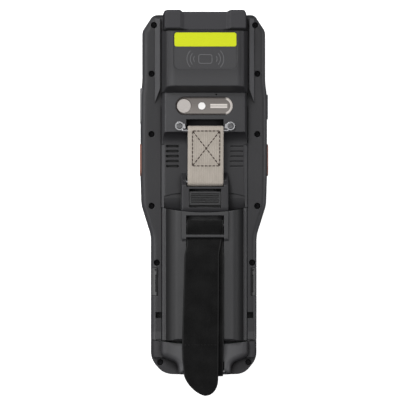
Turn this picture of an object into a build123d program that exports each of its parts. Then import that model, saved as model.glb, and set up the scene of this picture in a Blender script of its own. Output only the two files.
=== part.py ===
"""Portable barcode data terminal, lying face down.

+Z is the back's outward normal and z = 0 the plane of the front rim, +Y points to the scanner end,
+X is to the right as seen from the back. Left and right in the names are as seen from the back.
Millimetres.
"""

import os
from math import asin, atan2, hypot, tan

from build123d import *

os.makedirs("parts", exist_ok=True)

# ---------------------------------------------------------------------------------------------
# Driving dimensions
# ---------------------------------------------------------------------------------------------

# Casing outline, seen from the back
casing_top_y = 100.6
casing_length = 205.5
body_half_width = 34.85
key_bulge = 1.05
grip_half_width = 29.9
grip_rim = 5.3
shoulder_run = 6.15
shoulder_drop = 9.3
bulge_start_y = 62.0
bulge_full_y = 54.0
bulge_end_y = 8.0
waist_y = -8.0
waist_inset = 0.5
grip_start_y = -25.4
corner_run = 7.0
corner_drop = 8.8
end_bow = 0.3

# Casing heights and walls
wall = 2.2
roof = 2.0
front_height = 10.7
gasket_height = 0.6
gasket_inset = 0.5
gasket_width = 1.0
flank_height = 22.0
back_edge_radius = 3.0
front_edge_radius = 2.5
front_plate = 3.4

# Running gaps
pivot_gap = 0.05
slide_gap = 0.2
seat_gap = 0.15
seam_gap = 0.3

# Display
glass_half_width = 30.3
glass_top_margin = 7.4
glass_gap = 3.8
glass_thickness = 1.4
glass_recess = 0.5
glass_corner_radius = 4.0
glass_ledge = 2.4
display_thickness = 3.2

# Keypad on the front of the grip
panel_recess = 1.4
panel_half_width = 25.4
panel_top_y = -7.6
panel_length = 82.0
panel_corner_radius = 3.0
key_proud = 0.8
key_travel = 0.5
key_flange = 0.8
key_flange_thickness = 0.7
key_edge_radius = 0.5
number_key_width = 13.0
number_key_height = 8.2
number_key_radius = 2.4
number_column_pitch = 15.8
number_row_pitch = 11.2
first_number_row_drop = 38.4
front_scan_key_width = 20.0
front_scan_key_height = 7.6
front_scan_key_drop = 26.8
navigation_key_radius = 9.0
enter_key_radius = 4.2
navigation_key_drop = 11.4
corner_key_width = 9.6
corner_key_height = 6.2
corner_key_x = 18.4
corner_key_rise = 5.6
mat_gap = 0.6
mat_thickness = 1.0
dome_radius = 2.2

# Main board
board_height = 7.2
board_thickness = 1.2
board_gap = 0.5

# Housing screws
screw_head_radius = 1.5
screw_head_height = 1.6
screw_hole_radius = 1.8
screw_shank_radius = 0.95
screw_seat_height = 14.0
screw_length = 9.4
boss_radius = 2.6
boss_neck_radius = 1.8
body_screw_edge = 4.6
shoulder_screw_edge = 5.85
shoulder_screw_y = 94.8
upper_screw_y = 67.0
middle_screw_y = 32.5
lower_screw_y = -8.5
grip_screw_y = -40.9
end_screw_edge = 4.7
end_screw_y = -97.8

# Raised column, camera plateau and hump on the back
column_height = 23.6
column_bevel_width = 1.9
column_bevel_height = 1.4
column_groove = 0.4
column_edge_radius = 1.5
column_side_radius = 0.2
plateau_height = 28.5
plateau_half_width = 22.9
plateau_edge_radius = 0.8
plateau_top_y = 56.2
plateau_edge_y = 33.9
plateau_cove_run = 7.2
hump_height = 35.0
hump_crown_half_width = 19.4
hump_crown_drop = 0.9
hump_top_half_width = 22.3
hump_shoulder_height = 26.0
hump_foot_run = 3.6
hump_edge_radius = 1.0
hump_side_radius = 2.5
hump_crown_radius = 8.0
hump_wall = 2.0
hump_end_y = 91.7
inset_half_width = 18.2
inset_length = 21.6
inset_margin = 0.7
inset_depth = 0.5
inset_radius = 3.0
rail_inner_x = 25.3
rail_flat = 0.5
rail_width = 3.1
rail_bevel_run = 3.4
rail_height = 24.6
rail_end_y = 98.6
rail_bend_y = 59.0
rail_tip_y = 50.4

# Scan head
cap_half_width = 23.4
cap_end_y = 102.4
cap_height = 34.6
bumper_reach = 1.1
bumper_rise = 1.3
bumper_inner_x = 14.4
bumper_slope = 2.4
bumper_setback = 0.7
cap_edge_radius = 1.0
window_half_width = 13.8
window_bottom = 15.2
window_top = 29.2
window_thickness = 1.2
window_recess = 0.9
window_ledge = 1.6
engine_half_width = 11.6
engine_height = 12.0
engine_length = 17.0
antenna_thickness = 0.3
antenna_width = 32.0
antenna_length = 17.6
antenna_track = 3.0
label_depth = 8.0
label_radius = 1.2
label_margin = 0.5
label_side_margin = 0.5
label_thickness = 0.3

# Camera
bezel_x = -0.4
bezel_length = 32.6
bezel_width = 10.3
bezel_thickness = 1.0
bezel_depth = 0.6
camera_drop = 7.6
lens_x = -12.0
lens_radius = 3.9
lens_thickness = 0.8
flash_x = -1.8
flash_radius = 2.1
lens_lip = 0.6
camera_body = 9.0
camera_body_height = 4.6
microphone_x = 6.5
microphone_drop = 1.1
microphone_radius = 0.5

# Speaker behind the grille
grille_x = -18.4
grille_y = 19.9
grille_slot_length = 7.6
grille_slot_width = 1.45
grille_pitch = 2.85
grille_slots = 5
blind_groove_depth = 0.5
speaker_width = 8.4
speaker_length = 16.0
speaker_height = 4.5

# Top strap bar and webbing link
bar_y = 37.2
bar_crank = 2.7
bar_radius = 1.3
bar_lift = 1.8
eye_x = 14.6
eye_radius = 2.5
eye_thickness = 1.5
bar_screw_head_radius = 1.75
bar_screw_head_height = 1.1
bar_screw_shank_radius = 0.9
bar_screw_depth = 4.6
bar_socket_radius = 0.9
bar_recess_depth = 4.6
bar_recess_reach = 3.8
webbing_width = 20.5
webbing_x = 0.3
webbing_thickness = 1.3
webbing_play = 0.15
link_pin_y = 5.3
link_pin_height = 27.6
link_pin_radius = 1.1
pin_seat_depth = 1.6

# Spine with the battery latch
spine_half_width = 13.3
spine_height = 31.0
spine_wall = 2.6
spine_ramp_start_y = 10.6
spine_ramp_end_y = 3.4
spine_edge_radius = 0.9
mouth_floor = 24.4
mouth_end_y = 2.4
mouth_bar = 1.1
latch_floor = 25.6
latch_plate_half_width = 10.0
latch_plate_thickness = 1.5
latch_half_width = 9.0
latch_height = 4.8
latch_length = 7.7
latch_travel = 1.4
latch_heel = 1.2
bolt_half_width = 4.0
bolt_reach = 3.8
rib_pitch = 1.0
rib_depth = 0.35
spring_x = 6.0
spring_radius = 0.8
spring_bore = 0.45
spring_pocket = 3.0
spring_height = 28.6

# Battery bay and pack
bay_floor = 13.5
seam_y = -11.9
seam_bow = 2.7
bay_end_y = -87.3
end_seam_bow = 3.4
pack_gap = 0.3
pack_shoulder = 23.4
pack_shoulder_width = 2.1
pack_height = 30.2
pack_bulge_lean = 1.3
pack_bulge_radius = 6.5
pack_end_slope = 1.2
pack_wall = 2.2
pack_lid_thickness = 1.4
pack_lid_ledge = 1.0
slot_half_width = 10.85
slot_start = 2.0
slot_length = 10.9
slot_floor = 20.0
ramp_floor = 25.0
keeper_width = 1.7
keeper_height = 1.6
strap_exit = 9.6
strap_pin_drop = 7.3
strap_pin_height = 28.2
strap_pin_radius = 1.2
cell_height = 11.4
cell_margin = 1.0
contact_block_half_width = 7.0
contact_block_length = 5.0
contact_block_drop = 20.0

# Finger scoops above the pack's seam
scoop_inner_x = 13.6
scoop_outer_x = 23.2
scoop_reach = 10.2
scoop_depth = 4.2
scoop_lip = 0.5
scoop_ledge = 2.2
scoop_belly = 1.1
scoop_taper = 1.2

# Bottom cap and lower strap bar
cap_flank_height = 21.4
end_hump_height = 26.5
end_hump_edge = 4.9
end_hump_tip_half_width = 15.4
end_hump_shoulder_y = -94.4
end_hump_neck_y = -98.2
end_hump_radius = 3.6
cap_corner_height = 19.2
cap_corner_y = -95.0
end_notch_half_width = 11.2
end_notch_y = -97.4
end_notch_floor = 20.0
end_bar_y = -103.0
end_bar_height = 24.5
end_bar_radius = 1.3

# Black hand strap
strap_width = 21.2
strap_thickness = 1.4
strap_tip_x = -0.1
strap_tip_y = -116.9
strap_left_x = -11.9
strap_wide_x = -13.4
strap_wide_y = -88.5
strap_neck_x = -12.2
strap_neck_y = -104.8
strap_right_x = 7.9
strap_right_lean = 0.4
strap_right_end_y = -107.0
strap_lift = 0.4
strap_layer_rise = 2.0
strap_crown = 1.0
strap_tip_drop = 3.6
strap_entry = 1.4

# Side keys
side_key_depth = 6.0
side_key_height = 15.6
side_key_flange = 0.9
side_key_flange_thickness = 0.8
scan_key_y = 17.7
scan_key_length = 18.2
scan_key_reach = 0.75
scan_key_travel = 0.8
volume_key_y = 48.7
volume_key_length = 20.2
hold_key_y = 48.0
hold_key_length = 14.4
volume_key_reach = 0.6
volume_key_travel = 0.5

# Side contact covers on the grip
cover_y = -51.8
cover_length = 15.6
cover_top_inset = 3.3
cover_plate = 1.6
cover_bottom = 12.8
cover_barrel_radius = 0.8
cover_pin_radius = 0.5
cover_pin_length = 1.2
cover_gap = 0.2
cover_groove_length = 10.2
cover_groove_width = 0.9
cover_groove_depth = 0.7
cover_groove_edge = 2.3
cover_dimple_radius = 0.6
contact_length = 8.0
contact_height = 5.0
contact_depth = 2.4
side_notch_y = -69.2
side_notch_length = 3.4
side_notch_depth = 3.5
side_pad_length = 12.0
side_pad_rise = 0.6
side_pad_width = 3.4

# Dock connector in the lower end
dock_half_width = 8.0
dock_height = 3.7
dock_length = 5.0
dock_inset = 0.4
dock_pocket = 1.6

# Earpiece slot in the front
earpiece_length = 12.0
earpiece_width = 1.2
earpiece_margin = 4.2

# ---------------------------------------------------------------------------------------------
# Values worked out from them
# ---------------------------------------------------------------------------------------------

casing_bottom_y = casing_top_y - casing_length
bay_half_width = grip_half_width - grip_rim
shoulder_screw_x = body_half_width - shoulder_screw_edge
end_screw_x = grip_half_width - end_screw_edge
end_hump_half_width = grip_half_width - end_hump_edge
label_width = 2 * (inset_half_width - label_side_margin)
back_base = front_height + gasket_height
cavity_top = flank_height - roof
column_roof = column_height - roof
plateau_roof = plateau_height - roof
column_half_width = bay_half_width
camera_y = plateau_top_y - camera_drop
bezel_floor = plateau_height - bezel_depth
bar_height = plateau_height + bar_lift
bar_loop_y = bar_y - bar_crank
bar_recess_top_y = bar_y + bar_recess_reach
cove_end_y = plateau_edge_y - plateau_cove_run
cove_rise = plateau_height - column_height
cove_radius = (plateau_cove_run**2 + cove_rise**2) / (2 * cove_rise)
glass_top_y = casing_top_y - glass_top_margin
glass_length = glass_top_y - panel_top_y - glass_gap
glass_y = glass_top_y - glass_length / 2
glass_back = glass_recess + glass_thickness
panel_y = panel_top_y - panel_length / 2
navigation_key_y = panel_top_y - navigation_key_drop
front_scan_key_y = panel_top_y - front_scan_key_drop
first_number_row_y = panel_top_y - first_number_row_drop
key_face = panel_recess - key_proud
key_seat = front_plate + 0.05
key_back = key_seat + key_flange_thickness
mat_face = key_back + mat_gap
mat_back = mat_face + mat_thickness
board_top = board_height + board_thickness
inset_y = hump_end_y - inset_margin - inset_length / 2
inset_floor = hump_height - inset_depth
label_y = inset_y + (inset_length - label_depth) / 2 - label_margin
mouth_bar_end_y = mouth_end_y - mouth_bar
latch_rest_y = mouth_bar_end_y - latch_travel - slide_gap
latch_end_y = latch_rest_y - latch_length
latch_plate_end_y = latch_end_y - latch_heel
channel_end_y = latch_plate_end_y - slide_gap
slot_top_y = seam_y - slot_start
slot_end_y = slot_top_y - slot_length
keeper_end_y = slot_end_y - keeper_width
strap_pin_y = seam_y - strap_pin_drop
pack_end_y = bay_end_y + end_seam_bow * (bay_half_width / body_half_width) ** 2 + pack_gap
end_cap_y = bay_end_y - seam_gap
body_screw_x = body_half_width - body_screw_edge
grip_screw_x = (grip_half_width + bay_half_width) / 2
hump_foot_y = plateau_top_y + seat_gap
cap_start_y = hump_end_y + 2 * seat_gap
cover_hinge_x = grip_half_width - cover_barrel_radius - cover_gap
cover_hinge_height = cover_bottom + cover_barrel_radius

screw_points = [
    (side * x, y)
    for side in (-1, 1)
    for x, y in (
        (shoulder_screw_x, shoulder_screw_y),
        (body_screw_x, upper_screw_y),
        (body_screw_x, middle_screw_y),
        (body_screw_x, lower_screw_y),
        (grip_screw_x, grip_screw_y),
        (end_screw_x, end_screw_y),
    )
]

bulge_half_width = body_half_width + key_bulge
outline_points = [
    (0, casing_top_y),
    (body_half_width - shoulder_run, casing_top_y),
    (body_half_width, casing_top_y - shoulder_drop),
    (body_half_width, bulge_start_y),
    (bulge_half_width, bulge_full_y),
    (bulge_half_width, bulge_end_y),
    (bulge_half_width - waist_inset, waist_y),
    (grip_half_width, grip_start_y),
    (grip_half_width, casing_bottom_y + end_bow + corner_drop),
    (grip_half_width - corner_run, casing_bottom_y + end_bow),
    (0, casing_bottom_y),
]
outline_radii = [3.5, 6, 40, 40, 60, 18, 20, 11, 10]


def half_outline_face(points, fillet_radii):
    """A face symmetrical about the Y axis, from the points of its +X half."""
    with BuildSketch() as face:
        with BuildLine():
            FilletPolyline(*points, radius=fillet_radii)
            Line(points[-1], points[0])
        make_face()
        mirror(about=Plane.YZ)
    return face.sketch


casing_outline = half_outline_face(outline_points, outline_radii)


def casing_inset(amount):
    """The casing outline moved inwards."""
    with BuildSketch() as face:
        add(casing_outline)
        offset(amount=-amount, mode=Mode.REPLACE)
    return face.sketch


def write(part, name):
    """Labels a finished piece and writes its STEP file."""
    part.label = name
    export_step(part, f"parts/{name}.step")


# ---------------------------------------------------------------------------------------------
# Back half of the casing
# ---------------------------------------------------------------------------------------------


def end_region(shift):
    """All that lies below the bowed seam of the bottom cap, moved up by a shift."""
    seam_side_y = bay_end_y + end_seam_bow + shift
    with BuildSketch() as region:
        with BuildLine():
            ThreePointArc(
                (-body_half_width, seam_side_y),
                (0, bay_end_y + shift),
                (body_half_width, seam_side_y),
            )
            Polyline(
                (body_half_width, seam_side_y),
                (body_half_width, casing_bottom_y - wall),
                (-body_half_width, casing_bottom_y - wall),
                (-body_half_width, seam_side_y),
            )
        make_face()
    return region.sketch


def bay_plan(inset):
    """The battery bay in plan, with its bowed ends, moved inwards."""
    side_x = bay_half_width - inset
    side_y = seam_y + seam_bow - inset
    with BuildSketch() as plan:
        with BuildLine():
            ThreePointArc((-side_x, side_y), (0, seam_y - inset), (side_x, side_y))
            Polyline(
                (side_x, side_y),
                (side_x, bay_end_y),
                (-side_x, bay_end_y),
                (-side_x, side_y),
            )
        make_face()
        add(end_region(inset), mode=Mode.SUBTRACT)
    return plan.sketch


# Plain slab with the casing's outline and its rounded back edge
with BuildPart() as back_slab:
    with BuildSketch(Plane.XY.offset(back_base)):
        add(casing_outline)
    extrude(amount=flank_height - back_base)
    fillet(back_slab.edges().group_by(Axis.Z)[-1], radius=back_edge_radius)

# Raised column down the middle, bevelled along both sides
with BuildPart() as column:
    with BuildSketch(Plane.XZ.offset(-plateau_top_y)):
        add(
            half_outline_face(
                [
                    (0, column_height),
                    (column_half_width - column_bevel_width, column_height),
                    (column_half_width, column_height - column_bevel_height),
                    (column_half_width, back_base),
                    (0, back_base),
                ],
                [column_edge_radius, column_side_radius, 0],
            )
        )
    extrude(amount=plateau_top_y - seam_y + 2)

# Camera plateau, which ends below in a hollow cove
with BuildPart() as plateau:
    with BuildSketch(Plane.XZ.offset(-plateau_top_y)):
        add(
            half_outline_face(
                [
                    (0, plateau_height),
                    (plateau_half_width, plateau_height),
                    (column_half_width, column_height - column_bevel_height),
                    (column_half_width, back_base),
                    (0, back_base),
                ],
                [plateau_edge_radius, 0, 0],
            )
        )
    extrude(amount=plateau_top_y - cove_end_y)
    with BuildSketch(Plane.YZ):
        with Locations((cove_end_y, column_height + cove_radius)):
            Circle(cove_radius)
    extrude(amount=column_half_width, both=True, mode=Mode.SUBTRACT)

# Spine that takes the webbing and the latch
with BuildPart() as spine:
    with BuildSketch(Plane.YZ):
        with BuildLine():
            FilletPolyline(
                (seam_y - 2, column_roof),
                (seam_y - 2, spine_height),
                (spine_ramp_end_y, spine_height),
                (spine_ramp_start_y, column_height),
                (spine_ramp_start_y, column_roof),
                (seam_y - 2, column_roof),
                radius=[0, 5, 0, 0, 0],
            )
        make_face()
    extrude(amount=spine_half_width, both=True)
    fillet(spine.edges().filter_by(Axis.Y).group_by(Axis.Z)[-1], radius=spine_edge_radius)

# Finger scoops: a lens in plan with a narrow ledge, then a curve that falls towards the seam
scoop_top_y = seam_y + scoop_reach + 1
scoop_ledge_y = scoop_top_y - 1 - scoop_ledge

with BuildPart() as scoop:
    with BuildSketch(Plane.XY.offset(column_height - scoop_depth - 1)):
        with BuildLine():
            ThreePointArc(
                (scoop_inner_x, seam_y + scoop_reach + 0.6),
                ((scoop_inner_x + scoop_outer_x) / 2, seam_y + scoop_reach),
                (scoop_outer_x, seam_y + scoop_reach - scoop_taper),
            )
            Polyline(
                (scoop_outer_x, seam_y + scoop_reach - scoop_taper),
                (scoop_outer_x, seam_y - 1),
                (scoop_inner_x, seam_y - 1),
                (scoop_inner_x, seam_y + scoop_reach + 0.6),
            )
        make_face()
    extrude(amount=scoop_depth + 2)
    with BuildSketch(Plane.YZ.offset(scoop_inner_x)):
        with BuildLine():
            ThreePointArc(
                (scoop_ledge_y, column_height - scoop_lip),
                (seam_y + scoop_reach / 3, column_height - scoop_lip - scoop_belly),
                (seam_y - 1, column_height - scoop_depth),
            )
            Polyline(
                (seam_y - 1, column_height - scoop_depth),
                (seam_y - 1, column_height + 1),
                (scoop_top_y, column_height + 1),
                (scoop_top_y, column_height - scoop_lip),
                (scoop_ledge_y, column_height - scoop_lip),
            )
        make_face()
    extrude(amount=scoop_outer_x - scoop_inner_x, mode=Mode.INTERSECT)

# Rails beside the hump, bevelled outwards and cut to a point at their lower ends
with BuildPart() as rails:
    with BuildSketch(Plane.XY.offset(cavity_top)):
        with BuildLine():
            Polyline(
                (rail_inner_x, rail_end_y),
                (rail_inner_x + rail_width, rail_end_y),
                (rail_inner_x + rail_width, rail_tip_y),
                (rail_inner_x, rail_bend_y),
                (rail_inner_x, rail_end_y),
            )
        make_face()
        mirror(about=Plane.YZ)
    extrude(amount=rail_height - cavity_top)
    with BuildSketch(Plane.XZ.offset(-rail_end_y)):
        add(
            half_outline_face(
                [
                    (0, rail_height),
                    (rail_inner_x + rail_flat, rail_height),
                    (rail_inner_x + rail_flat + rail_bevel_run, flank_height),
                    (rail_inner_x + rail_flat + rail_bevel_run, cavity_top),
                    (0, cavity_top),
                ],
                [0, 0, 0],
            )
        )
    extrude(amount=rail_end_y - rail_tip_y, mode=Mode.INTERSECT)

with BuildPart() as rear_housing:
    add(back_slab.part)
    # Hollow under the flanks
    with BuildSketch(Plane.XY.offset(back_base)):
        add(casing_inset(wall))
        with Locations((0, (waist_y + casing_bottom_y) / 2 - 1)):
            Rectangle(2 * body_half_width, waist_y - casing_bottom_y + 2, mode=Mode.SUBTRACT)
    extrude(amount=cavity_top - back_base, mode=Mode.SUBTRACT)
    # Everything below the seam of the bottom cap belongs to the cap
    with BuildSketch(Plane.XY.offset(back_base)):
        add(end_region(0))
    extrude(amount=flank_height, mode=Mode.SUBTRACT)
    add(column.part)
    add(plateau.part)
    add(spine.part)
    add(rails.part)
    # Pads beside the pack's lower end
    with BuildSketch(Plane.XY.offset(flank_height - back_edge_radius)):
        with Locations(
            (-bay_half_width - side_pad_width / 2, side_notch_y - side_notch_length - side_pad_length / 2),
            (bay_half_width + side_pad_width / 2, side_notch_y - side_notch_length - side_pad_length / 2),
        ):
            Rectangle(side_pad_width, side_pad_length)
    extrude(amount=back_edge_radius + side_pad_rise)
    with BuildSketch(Plane.XY.offset(flank_height - side_notch_depth)):
        with Locations(
            (-bay_half_width - side_pad_width / 2, side_notch_y - side_notch_length / 2),
            (bay_half_width + side_pad_width / 2, side_notch_y - side_notch_length / 2),
        ):
            Rectangle(side_pad_width, side_notch_length)
    extrude(amount=side_notch_depth + 1, mode=Mode.SUBTRACT)
    # Hollows under the column, down to the scoops, and under the plateau
    with BuildSketch(Plane.XY.offset(back_base)):
        with Locations((0, (plateau_top_y - roof + scoop_top_y) / 2)):
            Rectangle(2 * (column_half_width - wall), plateau_top_y - roof - scoop_top_y)
    extrude(amount=column_roof - back_base, mode=Mode.SUBTRACT)
    with BuildSketch(Plane.XY.offset(column_roof)):
        with Locations((0, (plateau_top_y + bar_recess_top_y) / 2)):
            Rectangle(
                2 * (plateau_half_width - wall), plateau_top_y - bar_recess_top_y - 2 * roof
            )
    extrude(amount=plateau_roof - column_roof, mode=Mode.SUBTRACT)
    # Grooves between the column and the flanks
    with BuildSketch(Plane.XY.offset(flank_height - column_groove)):
        with Locations(
            (-column_half_width - column_groove / 2, (rail_tip_y + seam_y) / 2),
            (column_half_width + column_groove / 2, (rail_tip_y + seam_y) / 2),
        ):
            Rectangle(column_groove, rail_tip_y - seam_y - 4)
    extrude(amount=2 * column_groove, mode=Mode.SUBTRACT)
    # Battery bay, open upwards and towards the bottom cap
    with BuildSketch(Plane.XY.offset(bay_floor)):
        add(bay_plan(0))
    extrude(amount=2 * spine_height, mode=Mode.SUBTRACT)
    # Finger scoops on both sides of the spine
    add(scoop.part, mode=Mode.SUBTRACT)
    add(mirror(scoop.part, about=Plane.YZ, mode=Mode.PRIVATE), mode=Mode.SUBTRACT)
    # Way through the deck for the scan head, and the place of the end cap
    with BuildSketch(Plane.XY.offset(cavity_top)):
        with Locations((0, (cap_start_y + hump_foot_y + hump_foot_run + roof) / 2)):
            Rectangle(
                2 * (hump_top_half_width - 2 * hump_wall),
                cap_start_y - hump_foot_y - hump_foot_run - roof,
            )
    extrude(amount=roof, mode=Mode.SUBTRACT)
    with BuildSketch(Plane.XY.offset(back_base)):
        with Locations((0, hump_end_y + seat_gap + casing_top_y / 2)):
            Rectangle(2 * (cap_half_width + seat_gap), casing_top_y)
    extrude(amount=rail_height, mode=Mode.SUBTRACT)
    # Recess round the top strap bar, open at its lower end
    with BuildSketch(Plane.XY.offset(plateau_height - bar_recess_depth)):
        with Locations((0, (bar_recess_top_y + cove_end_y) / 2)):
            Rectangle(
                webbing_width + 2 * (webbing_x + slide_gap), bar_recess_top_y - cove_end_y
            )
    extrude(amount=bar_recess_depth, mode=Mode.SUBTRACT)
    # Mouth for the webbing's lower loop, with its pin seats
    with BuildSketch(Plane.XY.offset(mouth_floor)):
        with Locations((0, (mouth_end_y + spine_ramp_start_y) / 2)):
            Rectangle(2 * (spine_half_width - spine_wall), spine_ramp_start_y - mouth_end_y)
    extrude(amount=spine_height, mode=Mode.SUBTRACT)
    with BuildSketch(Plane.YZ):
        with Locations((link_pin_y, link_pin_height)):
            Circle(link_pin_radius)
    extrude(amount=spine_half_width - spine_wall + pin_seat_depth, both=True, mode=Mode.SUBTRACT)
    # Latch channel: a wide lower part that holds the plate, a narrower upper part for the button
    with BuildSketch(Plane.XY.offset(latch_floor)):
        with Locations((0, (mouth_bar_end_y + channel_end_y) / 2)):
            Rectangle(
                2 * (latch_plate_half_width + slide_gap), mouth_bar_end_y - channel_end_y
            )
    extrude(amount=latch_plate_thickness + 2 * slide_gap, mode=Mode.SUBTRACT)
    with BuildSketch(Plane.XY.offset(latch_floor)):
        with Locations((0, (mouth_bar_end_y + channel_end_y) / 2)):
            Rectangle(2 * (latch_half_width + slide_gap), mouth_bar_end_y - channel_end_y)
    extrude(amount=spine_height, mode=Mode.SUBTRACT)
    # Slot through the end wall for the latch's bolt
    with BuildSketch(Plane.XY.offset(latch_floor)):
        with Locations((0, channel_end_y - wall)):
            Rectangle(2 * (bolt_half_width + slide_gap), 2 * wall + 1)
    extrude(amount=latch_plate_thickness + 2 * slide_gap, mode=Mode.SUBTRACT)
    # Camera: bezel pocket, lens opening, flash opening, microphone hole
    with BuildSketch(Plane.XY.offset(bezel_floor)):
        with Locations((bezel_x, camera_y)):
            SlotOverall(bezel_length + 2 * seat_gap, bezel_width + 2 * seat_gap)
    extrude(amount=bezel_depth, mode=Mode.SUBTRACT)
    with BuildSketch(Plane.XY.offset(plateau_roof)):
        with Locations((lens_x, camera_y)):
            Circle(lens_radius - lens_lip)
        with Locations((flash_x, camera_y)):
            Circle(flash_radius - lens_lip)
        with Locations((microphone_x, plateau_top_y - microphone_drop)):
            Circle(microphone_radius)
    extrude(amount=roof, mode=Mode.SUBTRACT)
    # Speaker grille, and blind grooves opposite it
    with BuildSketch(Plane.XY.offset(column_roof)):
        with Locations((grille_x, grille_y)):
            with GridLocations(0, grille_pitch, 1, grille_slots):
                SlotOverall(grille_slot_length, grille_slot_width)
    extrude(amount=roof, mode=Mode.SUBTRACT)
    with BuildSketch(Plane.XY.offset(column_height - blind_groove_depth)):
        with Locations((-grille_x, grille_y)):
            with GridLocations(0, grille_pitch, 1, grille_slots):
                SlotOverall(grille_slot_length, grille_slot_width / 2)
    extrude(amount=blind_groove_depth, mode=Mode.SUBTRACT)
    # Screw bosses in the hollow body
    with BuildSketch(Plane.XY.offset(back_base)):
        with Locations(*[point for point in screw_points if point[1] > waist_y - boss_radius]):
            Circle(boss_radius)
    extrude(amount=cavity_top - back_base)
    # Counterbored screw holes
    with BuildSketch(Plane.XY.offset(screw_seat_height)):
        with Locations(*screw_points):
            Circle(screw_hole_radius)
    extrude(amount=flank_height, mode=Mode.SUBTRACT)
    with BuildSketch(Plane.XY.offset(back_base)):
        with Locations(*screw_points):
            Circle(screw_shank_radius + seat_gap)
    extrude(amount=screw_seat_height - back_base, mode=Mode.SUBTRACT)
    # Threaded holes for the strap bar's screws
    with BuildSketch(Plane.XY.offset(plateau_height - bar_screw_depth)):
        with Locations((-eye_x, bar_y), (eye_x, bar_y)):
            Circle(bar_screw_shank_radius)
    extrude(amount=bar_screw_depth, mode=Mode.SUBTRACT)
    # Windows in the side walls for the side keys
    for side, button_y, button_length in (
        (-1, volume_key_y, volume_key_length),
        (1, hold_key_y, hold_key_length),
    ):
        with BuildSketch(Plane.YZ.offset(side * (body_half_width - 2 * wall))):
            with Locations((scan_key_y, side_key_height)):
                SlotOverall(scan_key_length + 2 * slide_gap, side_key_depth + 2 * slide_gap)
            with Locations((button_y, side_key_height)):
                SlotOverall(button_length + 2 * slide_gap, side_key_depth + 2 * slide_gap)
        extrude(amount=side * 4 * wall, mode=Mode.SUBTRACT)
    # Pocket, hinge seat and contact pocket for the side covers
    for side in (-1, 1):
        with BuildSketch(Plane.XZ.offset(-cover_y)):
            with BuildLine():
                Polyline(
                    (side * (grip_half_width + 1), cover_bottom - cover_gap),
                    (side * (grip_half_width - cover_plate - cover_gap), cover_bottom - cover_gap),
                    (side * (grip_half_width - cover_plate - cover_gap), flank_height - cover_plate - cover_gap),
                    (side * (grip_half_width - cover_top_inset - cover_gap), flank_height - cover_plate - cover_gap),
                    (side * (grip_half_width - cover_top_inset - cover_gap), flank_height + 1),
                    (side * (grip_half_width + 1), flank_height + 1),
                    (side * (grip_half_width + 1), cover_bottom - cover_gap),
                )
            make_face()
        extrude(amount=cover_length / 2 + cover_gap, both=True, mode=Mode.SUBTRACT)
        with BuildSketch(Plane.XZ.offset(-cover_y)):
            with Locations(
                (
                    side * (grip_half_width - cover_plate - cover_gap - contact_depth / 2),
                    (cover_bottom + flank_height - cover_plate) / 2,
                )
            ):
                Rectangle(contact_depth, contact_height)
        extrude(amount=contact_length / 2, both=True, mode=Mode.SUBTRACT)
        with BuildSketch(Plane.XZ.offset(-cover_y)):
            with Locations((side * cover_hinge_x, cover_hinge_height)):
                Circle(cover_pin_radius + pivot_gap)
        extrude(
            amount=cover_length / 2 + cover_pin_length + 2 * cover_gap,
            both=True,
            mode=Mode.SUBTRACT,
        )
    # Opening in the bay's floor for the battery contacts
    with BuildSketch(Plane.XY.offset(back_base)):
        with Locations((0, seam_y - contact_block_drop)):
            Rectangle(
                2 * (contact_block_half_width + seat_gap), contact_block_length + 2 * seat_gap
            )
    extrude(amount=bay_floor - back_base, mode=Mode.SUBTRACT)
write(rear_housing.part, "rear_housing")


def hump_section(inset):
    """The cover's cross-section, moved inwards: a crowned top between two steep sides."""
    return half_outline_face(
        [
            (0, hump_height - inset),
            (hump_crown_half_width - inset, hump_height - inset),
            (hump_top_half_width - inset, hump_height - hump_crown_drop - inset),
            (column_half_width - inset, hump_shoulder_height),
            (column_half_width - inset, flank_height),
            (0, flank_height),
        ],
        [hump_crown_radius - inset, hump_side_radius - inset, 2, 0],
    )


# Hollow cover over the scan head, with the inset panel in its top
with BuildPart() as scan_head_cover:
    with BuildSketch(Plane.XZ.offset(-hump_end_y)):
        add(hump_section(0))
    extrude(amount=hump_end_y - hump_foot_y)
    # Steep slope down to the camera plateau
    with BuildSketch(Plane.YZ):
        with BuildLine():
            Polyline(
                (hump_foot_y - 1, plateau_height),
                (hump_foot_y, plateau_height),
                (hump_foot_y + hump_foot_run, hump_height),
                (hump_foot_y + hump_foot_run, hump_height + 1),
                (hump_foot_y - 1, hump_height + 1),
                (hump_foot_y - 1, plateau_height),
            )
        make_face()
    extrude(amount=2 * column_half_width, both=True, mode=Mode.SUBTRACT)
    fillet(
        scan_head_cover.faces().sort_by(Axis.Y)[1].edges().group_by(Axis.Z)[-1],
        radius=hump_edge_radius,
    )
    with BuildSketch(Plane.XZ.offset(-hump_end_y)):
        add(hump_section(hump_wall))
    extrude(amount=hump_end_y - hump_foot_y - hump_foot_run - hump_wall, mode=Mode.SUBTRACT)
    with BuildSketch(Plane.XY.offset(inset_floor)):
        with Locations((0, inset_y)):
            RectangleRounded(2 * inset_half_width, inset_length, inset_radius)
    extrude(amount=inset_depth, mode=Mode.SUBTRACT)
write(scan_head_cover.part, "scan_head_cover")

with BuildPart() as label_plate:
    with BuildSketch(Plane.XY.offset(inset_floor)):
        with Locations((0, label_y)):
            RectangleRounded(label_width, label_depth, label_radius)
    extrude(amount=label_thickness)
write(label_plate.part, "label_plate")

with BuildPart() as contactless_antenna:
    with BuildSketch(Plane.XY.offset(hump_height - hump_wall - antenna_thickness)):
        with Locations((0, inset_y)):
            RectangleRounded(antenna_width, antenna_length, inset_radius)
            RectangleRounded(
                antenna_width - 2 * antenna_track,
                antenna_length - 2 * antenna_track,
                inset_radius / 2,
                mode=Mode.SUBTRACT,
            )
    extrude(amount=antenna_thickness)
write(contactless_antenna.part, "contactless_antenna")

# ---------------------------------------------------------------------------------------------
# Scan head
# ---------------------------------------------------------------------------------------------

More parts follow.
